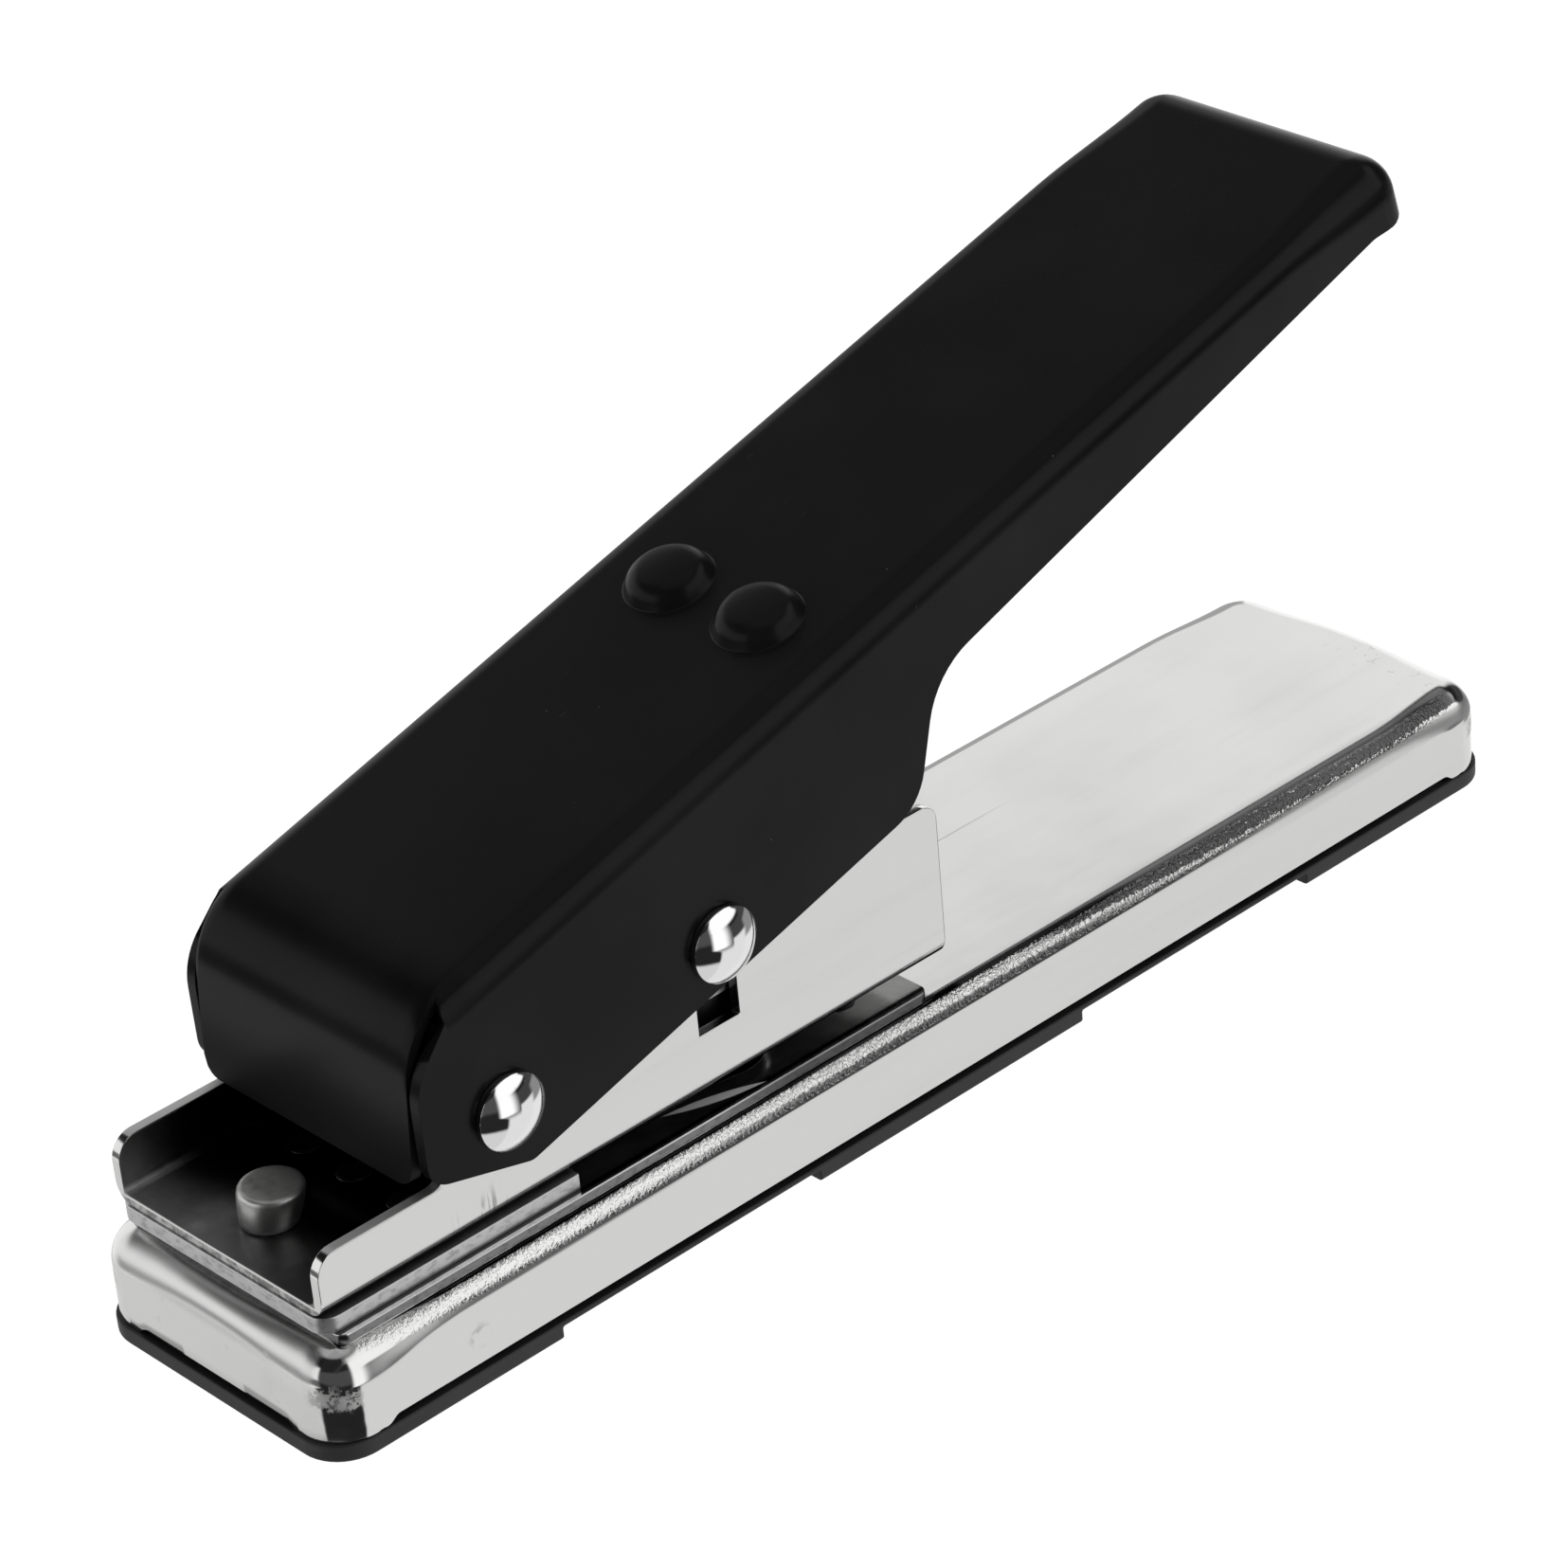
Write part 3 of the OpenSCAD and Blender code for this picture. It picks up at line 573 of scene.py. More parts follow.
    def dulling(self, s: NodeSheet, place: Val) -> Union[Val, float]:
        """Dulls the flat top, two stretches of the fillet and the frosted corners.

        Args:
            s: The sheet.
            place: Place in metres.

        Returns:
            Roughness to add.
        """
        x, y, z = s.millimetres(place)
        top = z.step(self.top - 0.3, self.top - 0.02)
        front = x.step(3.6 - self.half_l, 1.6 - self.half_l) * z.step(8.0, 9.3) * abs(y).step(15.8, 14.8)
        rear = x.step(24.0, 66.0) * z.step(8.2, 9.0) * z.step(10.5, 10.1) * y.step(-16.0, -17.0)
        corner = abs(x).step(78.6, 80.6) * abs(y).step(13.9, 15.9)
        ragged = z + (s.noise(place, 420, 4.0, 0.7) - 0.5) * 4.0
        frost = corner * ragged.step(5.6, 6.3) * ragged.step(8.3, 7.6)
        sparkle = s.noise(place, 1900, 2.0, 0.6).step(0.38, 0.58)
        dull = top * self.top_dull + front * self.front_dull + rear * self.rear_dull
        return dull + frost * (self.frost_dull[0] + self.frost_dull[1] * sparkle)

    def grain(self, s: NodeSheet, place: Val) -> Val:
        """Orange peel on the stretched edge, and soft bulges low on the corners.

        Args:
            s: The sheet.
            place: Place in metres.

        Returns:
            Height, as a share of the grain's depth.
        """
        x, y, z = s.millimetres(place)
        band = z.step(self.low - 0.5, self.low + 0.2) * z.step(self.high + 0.2, self.high - 0.2)
        bend = abs(x).step(70.0, 78.0) * abs(y).step(15.0, 18.0)
        bulge = s.noise(s.mapped(place, (120, 120, 190)), 1.0, 2.0) * bend * 14.0 * z.step(9.5, 7.5)
        fine = s.noise(place, 2700, 2.0, 0.6).step(0.3, 0.7)
        peel = 1.2 + x.step(-50.0, -10.0) * x.step(60.0, 40.0)
        return band * peel * abs(x).step(79.0, 76.0) * fine + bulge


@dataclass(frozen=True)
class ChannelPlate(NickelPlate):
    """Nickel of the channel: painted shade inside and along the foot of its walls, with faint polishing arcs
    and a scratch outside.

    A pair of places says where an effect starts and where it is full.
    """

    inner: float = 14.58
    floor: float = 15.9
    front: float = -80.6
    tail: float = 1.6
    low_top: float = 21.9
    bay_in: Point2 = (12.0, 2.0)
    oil_in: Point2 = (14.0, 4.0)
    oil_dull: float = 0.22
    rim_in: Point2 = (16.0, 15.0)
    rim_dull: float = 0.45
    # Reach across of the painted shadow along the walls' foot.
    foot_shade_y: Point2 = (13.2, 13.5)
    smudge_x: float = -60.5
    smudge_reach: Point2 = (4.5, 1.0)
    smudge_z: Point2 = (20.0, 16.2)
    arc_centre: Point2 = (-19.0, 14.0)
    scratch: Point2 = (-5.1, 26.0)
    scratch_low: Point2 = (22.6, 23.6)
    scratch_high: Point2 = (30.6, 29.4)

    def from_front(self, x: Val, inset: Point2) -> Val:
        """Step along the channel, counted from its front."""
        return x.step(self.front + inset[0], self.front + inset[1])

    def shade(self, s: NodeSheet, place: Val, colour: Val) -> Val:
        """Paints shade on the inner faces and a shadow along the walls' foot, darkens the cut ends, and
        smudges the low wall.

        Args:
            s: The sheet.
            place: Place in metres.
            colour: Colour of the clean plating.

        Returns:
            The new colour.
        """
        x, y, z = s.millimetres(place)
        smear = s.noise(place, 120, 4.0).step(0.40, 0.70)
        # Painted shade: the inner faces are dark, lighter and mottled in the open bay at the front.
        bay = self.from_front(x, self.bay_in)
        dark = s.mix(bay * (0.35 + 0.65 * smear), grey(0.05), grey(0.36))
        dark = s.mix(s.specks(place, 420, 0.06, 0.25) * 0.5, dark, grey(0.35))
        torn = s.noise(place, 900, 3.0).step(0.35, 0.65)
        cut = self.from_front(x, (0.18, 0.1)) * z.step(self.floor - 0.15, self.floor - 0.3)
        colour = s.mix(cut * (0.4 + 0.5 * torn), colour, grey(0.1))
        colour = s.mix(x.step(self.tail - 0.16, self.tail - 0.08) * 0.75, colour, grey(0.08))
        # Painted shadow: the lower bend of the walls darkens towards its underside, over the plates.
        under = z.step(self.floor + 1.0, self.floor - 0.7) * self.from_front(x, (0.2, 0.4))
        colour = s.mix(under * abs(y).step(*self.foot_shade_y), colour, grey(0.05))
        strokes = s.noise(s.mapped(place, (1300, 1300, 150)), 1.0, 3.0, 0.6).step(0.54, 0.64)
        smudge = abs(x - self.smudge_x).step(*self.smudge_reach) * z.step(*self.smudge_z)
        colour = s.mix(strokes * smudge * 0.7, colour, grey(0.12))
        # Painted shade: the dark colour above goes onto the inner faces.
        return s.mix(self.inside(s, place), colour, dark)

    def inside(self, s: NodeSheet, place: Val) -> Val:
        """1 on the inner faces, 0 outside and on the rims."""
        y, z = s.millimetres(place, "YZ")
        return abs(y).step(self.inner + 0.03, self.inner - 0.02) * z.step(self.floor, self.floor + 0.06)

    def dulling(self, s: NodeSheet, place: Val) -> Union[Val, float]:
        """Dulls the oily bay at the front and the rims of the low walls.

        Args:
            s: The sheet.
            place: Place in metres.

        Returns:
            Roughness to add.
        """
        x, z = s.millimetres(place, "XZ")
        rim = z.step(self.low_top - 0.25, self.low_top - 0.1) * z.step(self.low_top + 0.4, self.low_top + 0.3)
        rim = rim * self.from_front(x, self.rim_in)
        oil = self.inside(s, place) * self.from_front(x, self.oil_in)
        return oil * self.oil_dull + rim * self.rim_dull

    def grain(self, s: NodeSheet, place: Val) -> Val:
        """Faint arcs of polishing and one upright scratch.

        Args:
            s: The sheet.
            place: Place in metres.

        Returns:
            Height, as a share of the grain's depth.
        """
        x, z = s.millimetres(place, "XZ")
        arcs = (distance(x, z, self.arc_centre) * 7.0).math("SINE")
        arcs = arcs * s.noise(place, 60, 2.0).step(0.5, 0.7)
        line = abs(x - self.scratch[0] + (z - self.scratch[1]) * 0.05).step(0.10, 0.03)
        reach = z.step(*self.scratch_low) * z.step(*self.scratch_high)
        return arcs * 0.05 + line * reach * 0.5


@dataclass(frozen=True)
class CutEdge:
    """Sheared plate: torn grey sides and brighter rims at its two faces."""

    name: str
    low: float
    high: float
    side: float = 0.30
    rim: float = 0.66
    gloss: float = 0.26
    rim_w: float = 0.13
    crease: float = 0.0
    crease_w: float = 0.6
    # Dark tone of the painted crease shade, also used on the darker rear of the sides.
    crease_shade: float = 0.012
    # Where the sides start and end growing darker towards the rear.
    rear_dark_x: Point2 = (-34.0, -20.0)
    # Ends and width of the painted highlight streak on the top face.
    highlight_from: Point2 = (-35.2, -12.65)
    highlight_to: Point2 = (-24.2, -16.05)
    highlight_w: float = 0.6

    def material(self) -> bpy.types.Material:
        """Builds the plate's finish between its two heights.

        Returns:
            The material.
        """
        material, s, place = surface(self.name)
        (z,) = s.millimetres(place, "Z")
        tear = s.noise(s.mapped(place, (900, 900, 1800)), 1.0, 4.0, 0.65)
        breaks = s.noise(s.mapped(place, (300, 300, 900)), 1.0, 3.0).step(0.35, 0.6)
        upper = z.step(self.high - self.rim_w * 1.4, self.high - self.rim_w)
        lower = z.step(self.low + self.rim_w * 1.4, self.low + self.rim_w)
        colour = s.mix(tear.step(0.45, 0.7), grey(self.side), grey(self.side * 0.65))
        colour = s.mix(upper.math("MAXIMUM", lower * breaks), colour, grey(self.rim))
        rough = self.gloss + 0.16 * tear
        metal: Union[Val, float] = 1.0
        if self.crease:
            colour, rough, metal = self.shade_and_highlight(s, place, colour, rough)
        normal = s.bump(tear, 0.03, 0.5)
        close_surface(s, Base_Color=colour, Metallic=metal, Roughness=rough, Normal=normal)
        return material

    def shade_and_highlight(self, s: NodeSheet, place: Val, colour: Val, rough: Val) -> tuple[Val, Val, Val]:
        """Painted shade in the crease beside the plate above, sides that are darker towards the rear, and a
        painted highlight streak on the top face.

        Args:
            s: The sheet.
            place: Place in metres.
            colour: Colour so far.
            rough: Roughness so far.

        Returns:
            The new colour, roughness and share of bare metal.
        """
        x, y, z = s.millimetres(place)
        face = z.step(self.high - 0.03, self.high - 0.01)
        # Painted shade: a dark strip on the top face just outside the edge of the plate above.
        out = abs(y) - self.crease
        crease_shade = out.step(-0.1, 0.0) * out.step(self.crease_w, self.crease_w - 0.15) * face
        colour = s.mix(crease_shade * 0.95, colour, grey(self.crease_shade))
        # The sides are darker towards the rear, in the same dark tone as the crease shade.
        darkening = x.step(*self.rear_dark_x) * (1.0 - face)
        colour = s.mix(darkening * 0.6, colour, grey(self.crease_shade))
        # Painted highlight: a pale, lens-shaped streak on the top face, less metallic so that it catches
        # light.
        way = Vector(self.highlight_to) - Vector(self.highlight_from)
        ahead = way.normalized()
        dx, dy = x - self.highlight_from[0], y - self.highlight_from[1]
        along = (dx * ahead.x + dy * ahead.y) / way.length
        aside = abs(dx * -ahead.y + dy * ahead.x)
        lens = along * (1.0 - along) * (4.0 * self.highlight_w)
        rub_and_highlight = (lens - aside).step(-0.06, 0.06) * face
        colour = s.mix(rub_and_highlight, colour, grey(0.8))
        return colour, rough + rub_and_highlight * 0.35, 1.0 - rub_and_highlight


@dataclass(frozen=True)
class ChromeHead:
    """Bright domed pin heads with a few rubbed marks."""

    name: str = "bright_pin_head"
    tint: float = 0.86
    gloss: float = 0.05

    def material(self) -> bpy.types.Material:
        """Builds the chrome.

        Returns:
            The material.
        """
        material, s, place = surface(self.name)
        cloud = s.noise(place, 420, 3.0)
        rub_and_highlight = s.noise(s.mapped(place, (1900, 1900, 260), turn=(0.4, 0.2, 0.5)), 1.0, 2.0).step(0.66, 0.74)
        bright = grey(self.tint)
        colour = s.mix(rub_and_highlight * 0.35, bright, grey(0.5))
        rough = self.gloss + 0.05 * cloud.step(0.45, 0.8) + 0.12 * rub_and_highlight
        normal = s.bump(cloud, 0.02, 0.18)
        close_surface(s, Base_Color=colour, Metallic=1.0, Roughness=rough, Normal=normal)
        return material


@dataclass(frozen=True)
class TurnedSteel:
    """Plain turned steel: rings about an upright axis, smears and dark oil."""

    name: str
    centre: Point2 = (0.0, 0.0)
    tint: float = 0.42
    gloss: float = 0.3

    def material(self) -> bpy.types.Material:
        """Builds the steel, with turning marks about the centre in millimetres.

        Returns:
            The material.
        """
        material, s, place = surface(self.name)
        shift = (-self.centre[0] * MM, -self.centre[1] * MM, 0.0)
        around = s.mapped(place, (1, 1, 0), shift)
        radius = s.make("ShaderNodeVectorMath", {"operation": "LENGTH"}, {0: around}, "Value")
        rings = (radius * 26000.0).math("SINE")
        marks = s.noise(s.mapped(place, (900, 900, 5200)), 1.0, 3.0)
        smear = s.noise(place, 330, 4.0)
        bright = (self.tint, self.tint, self.tint * 0.985)
        dark = (self.tint * 0.45, self.tint * 0.45, self.tint * 0.44)
        colour = s.mix(smear.step(0.45, 0.75), bright, dark)
        rough = self.gloss + 0.18 * smear + 0.08 * marks
        normal = s.bump(rings * 0.25 + marks, 0.012, 0.5)
        close_surface(s, Base_Color=colour, Metallic=1.0, Roughness=rough, Normal=normal)
        return material


@dataclass(frozen=True)
class GroundSteel:
    """Hard steel, ground in one direction, with an oil film."""

    name: str = "ground_tool_steel"
    tint: float = 0.40

    def material(self) -> bpy.types.Material:
        """Builds the ground steel.

        Returns:
            The material.
        """
        material, s, place = surface(self.name)
        lines = s.noise(s.mapped(place, (160, 5200, 900)), 1.0, 3.0, 0.6)
        smear = s.noise(place, 150, 4.0)
        bright = (self.tint, self.tint, self.tint * 1.01)
        dark = grey(self.tint * 0.55)
        colour = s.mix(smear.step(0.4, 0.8) * 0.8, bright, dark)
        rough = 0.22 + 0.16 * lines + 0.1 * smear
        close_surface(s, Base_Color=colour, Metallic=1.0, Roughness=rough, Normal=s.bump(lines, 0.008, 0.5))
        return material


@dataclass(frozen=True)
class SpringWire:
    """Drawn spring wire: dark, with pale draw lines."""

    name: str = "drawn_spring_wire"
    tint: float = 0.30

    def material(self) -> bpy.types.Material:
        """Builds the wire finish.

        Returns:
            The material.
        """
        material, s, place = surface(self.name)
        lines = s.noise(s.mapped(place, (500, 500, 6000)), 1.0, 3.0, 0.6)
        smear = s.noise(place, 260, 3.0)
        bright = grey(self.tint * 1.4)
        dark = (self.tint * 0.6, self.tint * 0.6, self.tint * 0.62)
        colour = s.mix(smear.step(0.35, 0.75), bright, dark)
        rough = 0.24 + 0.2 * lines
        close_surface(s, Base_Color=colour, Metallic=1.0, Roughness=rough, Normal=s.bump(lines, 0.01, 0.5))
        return material


@dataclass(frozen=True)
class CharcoalPlastic:
    """Moulded charcoal plastic: fine spark texture, scuffs on its edges."""

    name: str = "charcoal_plastic"
    shade: float = 0.013

    def material(self) -> bpy.types.Material:
        """Builds the plastic.

        Returns:
            The material.
        """
        material, s, place = surface(self.name)
        spark = s.noise(place, 3600, 3.0, 0.6)
        cloud = s.noise(place, 70, 3.0)
        scuff = s.noise(s.mapped(place, (30, 700, 900)), 1.0, 3.0).step(0.62, 0.72)
        dark = (self.shade, self.shade, self.shade * 1.03)
        pale = (self.shade * 1.8, self.shade * 1.8, self.shade * 1.85)
        colour = s.mix(cloud.step(0.35, 0.8), dark, pale)
        colour = s.mix(scuff * 0.12, colour, grey(0.16))
        rough = 0.46 + 0.12 * spark + 0.1 * scuff
        normal = s.bump(spark, 0.025, 0.45)
        close_surface(s, Base_Color=colour, Roughness=rough, Normal=normal, IOR=1.47)
        return material


# Shape helpers


def round_corners(corners: Sequence[tuple[float, ...]], steps: int = 8) -> list[Point2]:
    """Open polyline with round corners.

    Args:
        corners: Points, each with a radius as a third number where it is rounded.
        steps: Steps of each rounded corner.

    Returns:
        The points of the rounded line.
    """
    line: list[Point2] = []
    for index, here in enumerate(corners):
        spot = Vector(here[:2])
        if len(here) < 3 or index in (0, len(corners) - 1):
            line.append((spot.x, spot.y))
            continue
        back = (Vector(corners[index - 1][:2]) - spot).normalized()
        ahead = (Vector(corners[index + 1][:2]) - spot).normalized()
        half = back.angle(ahead) / 2
        middle = spot + (back + ahead).normalized() * (here[2] / math.sin(half))
        start = spot + back * (here[2] / math.tan(half)) - middle
        end = spot + ahead * (here[2] / math.tan(half)) - middle
        turn = start.angle_signed(end)
        for k in range(steps + 1):
            arm = start.copy()
            arm.rotate(Matrix.Rotation(-turn * k / steps, 2))
            line.append((middle.x + arm.x, middle.y + arm.y))
    return line


def smooth(t: float) -> float:
    """Smooth step of a number, held between 0 and 1."""
    t = min(max(t, 0.0), 1.0)
    return t * t * (3 - 2 * t)


def spread(start: float, end: float, pitch: float) -> list[float]:
    """Even numbers from start up to, but not including, end.

    Args:
        start: First number.
        end: Number that the list stops short of.
        pitch: Largest step.

    Returns:
        The numbers.
    """
    count = max(1, math.ceil((end - start) / pitch))
    return [start + (end - start) * k / count for k in range(count)]


def piece_from(bm: bmesh.types.BMesh, name: str) -> bpy.types.Object:
    """Turns an edit mesh into a smooth piece at the origin.

    Args:
        bm: The mesh, in metres, which is freed.
        name: Name of the piece.

    Returns:
        The new object.
    """
    mesh = bpy.data.meshes.new(name)
    bm.to_mesh(mesh)
    bm.free()
    mesh.shade_smooth()
    piece = bpy.data.objects.new(name, mesh)
    bpy.context.scene.collection.objects.link(piece)
    return piece


def face_out(bm: bmesh.types.BMesh, probe: Callable[[bmesh.types.BMFace], float]) -> None:
    """Turns an open surface so that it faces outwards.

    Args:
        bm: The mesh.
        probe: Positive on faces that point outwards.
    """
    bmesh.ops.recalc_face_normals(bm, faces=bm.faces)
    bm.normal_update()
    if sum(probe(f) * f.calc_area() for f in bm.faces) < 0:
        bmesh.ops.reverse_faces(bm, faces=bm.faces)


def soften(piece: bpy.types.Object, width: float, limit: float = 34.0) -> None:
    """Rounds a piece's sharp edges.

    Args:
        piece: The piece.
        width: Width in millimetres.
        limit: Least angle of an edge that is rounded, in degrees.
    """
    bevel = piece.modifiers.new("soft_edges", "BEVEL")
    bevel.width = width * MM
    bevel.segments = 2
    bevel.limit_method = "ANGLE"
    bevel.angle_limit = math.radians(limit)
    bevel.use_clamp_overlap = True
    bevel.miter_outer = "MITER_ARC"
    weigh = piece.modifiers.new("face_weight", "WEIGHTED_NORMAL")
    weigh.keep_sharp = True
    weigh.weight = 80


def thicken(piece: bpy.types.Object, sheet: float) -> None:
    """Gives a surface the thickness of its sheet, inwards.

    Args:
        piece: The piece.
        sheet: Thickness in millimetres.
    """
    wall = piece.modifiers.new("sheet", "SOLIDIFY")
    wall.thickness = sheet * MM
    wall.offset = -1.0
    wall.use_even_offset = True
    wall.use_rim = True


def paint(piece: bpy.types.Object, material: bpy.types.Material) -> None:
    """Gives a piece one material."""
    piece.data.materials.clear()
    piece.data.materials.append(material)


def seat(piece: bpy.types.Object, body: Body, slot: Slot, *nodes: str) -> None:
    """Puts a finished piece in the frame.

    Args:
        piece: The piece.
        body: Body it rides on.
        slot: Slot of its finish; not used.
        nodes: CAD nodes it stands for.
    """
    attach(piece, body.value)
    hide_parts(*nodes)
    LOG.info("%s rides on %s", piece.name, body.value)


def node_copy(node: str, name: str) -> bpy.types.Object:
    """Copy of a CAD node with whole faces in place of loose triangles.

    Args:
        node: The CAD node.
        name: Name of the copy.

    Returns:
        The copy, as an object of its own.
    """
    bm = bmesh.new()
    bm.from_mesh(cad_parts[node].data)
    bmesh.ops.remove_doubles(bm, verts=bm.verts, dist=TINY)
    bmesh.ops.dissolve_limit(
        bm, angle_limit=math.radians(0.4), use_dissolve_boundaries=False, verts=bm.verts, edges=bm.edges
    )
    bmesh.ops.recalc_face_normals(bm, faces=bm.faces)
    return piece_from(bm, name)


def dress_node(
    node: str, name: str, edge: float, material: bpy.types.Material, body: Body, slot: Slot
) -> None:
    """Makes and seats a piece that keeps a CAD node's shape, with soft edges.

    Args:
        node: The CAD node.
        name: Name of the piece.
        edge: Width of its soft edges in millimetres.
        material: Its finish.
        body: Body it rides on.
        slot: Slot of its finish.
    """
    piece = node_copy(node, name)
    soften(piece, edge)
    paint(piece, material)
    seat(piece, body, slot, node)


def turned_mesh(profile: Sequence[Point2], axis: Axis, centre: Point3, sides: int = 72) -> bmesh.types.BMesh:
    """Solid of revolution.

    Args:
        profile: Radius and place along the axis, from end to end, in millimetres.
        axis: Axis it is turned about.
        centre: Point of the axis that the places are counted from.
        sides: Steps round the axis.

    Returns:
        The mesh, in metres.
    """
    bm = bmesh.new()
    rows = []
    for radius, along in profile:
        ring = []
        for k in range(1 if radius < TINY else sides):
            a = 2 * math.pi * k / sides
            c, s = radius * math.cos(a), radius * math.sin(a)
            spot = (c, along, s) if axis is Axis.ACROSS else (c, s, along)
            ring.append(bm.verts.new((Vector(spot) + Vector(centre)) * MM))
        rows.append(ring)
    for low, high in zip(rows, rows[1:]):
        for k in range(sides):
            loop = [row[n % len(row)] for row, n in ((low, k), (low, k + 1), (high, k + 1), (high, k))]
            corners = list(dict.fromkeys(loop))
            if len(corners) > 2:
                bm.faces.new(corners)
    bmesh.ops.remove_doubles(bm, verts=bm.verts, dist=TINY)
    bmesh.ops.recalc_face_normals(bm, faces=bm.faces)
    return bm


def dome_profile(
    radius: float, rim: float, height: float, edge: float = 0.12, steps: int = 12
) -> list[Point2]:
    """Half outline of a domed head, from its foot to its top.

    Args:
        radius: Head radius.
        rim: Height of the upright rim.
        height: Height of the dome over the rim.
        edge: Chamfer of the foot.
        steps: Steps of the dome.

    Returns:
        Radius and height pairs.
    """
    ball = (height * height + radius * radius) / (2 * height)
    reach = math.asin(radius / ball)
    line = [(radius - edge, 0.0), (radius, edge), (radius, max(rim, edge * 1.5))]
    for k in range(1, steps + 1):
        a = reach * (1 - k / steps)
        line.append((ball * math.sin(a), rim + height - ball + ball * math.cos(a)))
    return line


# Geometry Nodes


class TreeSheet:
    """A Geometry Nodes tree that is being written."""

    def __init__(self, name: str) -> None:
        """Makes an empty tree with a geometry output.

        Args:
            name: Name of the tree.
        """
        self.tree = bpy.data.node_groups.new(name, "GeometryNodeTree")
        self.tree.interface.new_socket("Geometry", in_out="OUTPUT", socket_type="NodeSocketGeometry")
        self.inlet = self.tree.nodes.new("NodeGroupInput")

    def size(self, name: str, kind: str) -> bpy.types.NodeSocket:
        """Adds a named input and gives its socket."""
        self.tree.interface.new_socket(name, in_out="INPUT", socket_type=kind)
        return self.inlet.outputs[name]

    def make(
        self, kind: str, settings: Optional[dict[str, Any]] = None, inputs: Optional[dict[Any, Any]] = None
    ) -> bpy.types.Node:
        """Adds a node.

        Args:
            kind: The node's type.
            settings: Its own settings, set first.
            inputs: Values or links of its sockets, by name or number.

        Returns:
            The node.
        """
        node = self.tree.nodes.new(kind)
        for name, value in (settings or {}).items():
            setattr(node, name, value)
        for key, value in (inputs or {}).items():
            if isinstance(value, bpy.types.NodeSocket):
                self.tree.links.new(value, node.inputs[key])
            else:
                node.inputs[key].default_value = value
        return node

    def number(self, operation: str, *inputs: Any) -> bpy.types.NodeSocket:
        """Result of a Math node."""
        return self.make("ShaderNodeMath", {"operation": operation}, dict(enumerate(inputs))).outputs[0]

    def vector(self, operation: str, inputs: dict[Any, Any]) -> bpy.types.NodeSocket:
        """Result of a Vector Math node."""
        return self.make("ShaderNodeVectorMath", {"operation": operation}, inputs).outputs[0]

    def close(self, shape: bpy.types.NodeSocket, finish: bpy.types.NodeSocket) -> None:
        """Ends the tree in real geometry with its material.

        Args:
            shape: The geometry, which may hold instances.
            finish: The material.
        """
        real = self.make("GeometryNodeRealizeInstances", None, {"Geometry": shape}).outputs[0]
        dressed = self.make("GeometryNodeSetMaterial", None, {"Geometry": real, "Material": finish})
        outlet = self.tree.nodes.new("NodeGroupOutput")
        self.tree.links.new(dressed.outputs[0], outlet.inputs[0])

    def bake(self, name: str, sizes: dict[str, Any]) -> bpy.types.Object:
        """Runs the tree once.

        Args:
            name: Name of the piece.
            sizes: Value of each named input.

        Returns:
            A piece with a plain mesh and no modifier.
        """
        piece = bpy.data.objects.new(name, bpy.data.meshes.new(name))
        bpy.context.scene.collection.objects.link(piece)
        modifier = piece.modifiers.new("shape", "NODES")
        modifier.node_group = self.tree
        for item in self.tree.interface.items_tree:
            if item.in_out == "INPUT":
                modifier[item.identifier] = sizes[item.name]
        bpy.context.view_layer.update()
        shown = piece.evaluated_get(bpy.context.evaluated_depsgraph_get())
        mesh = bpy.data.meshes.new_from_object(shown)
        piece.modifiers.clear()
        piece.data = mesh
        mesh.name = name
        mesh.shade_smooth()
        return piece


def row_tree() -> TreeSheet:
    """Tree that sets copies of one part in a row.

    Returns:
        The tree, with inputs for the part, the row and the finish.
    """
    t = TreeSheet("row_of_parts")
    part = t.size("Part", "NodeSocketObject")
    count = t.size("Count", "NodeSocketInt")
    start = t.size("Start", "NodeSocketVector")
    step = t.size("Step", "NodeSocketVector")
    finish = t.size("Finish", "NodeSocketMaterial")
    line = t.make("GeometryNodeMeshLine", None, {"Count": count, "Start Location": start, "Offset": step})
    shape = t.make("GeometryNodeObjectInfo", None, {"Object": part}).outputs["Geometry"]
    copies = t.make("GeometryNodeInstanceOnPoints", None, {"Points": line.outputs[0], "Instance": shape})
    t.close(copies.outputs[0], finish)
    return t


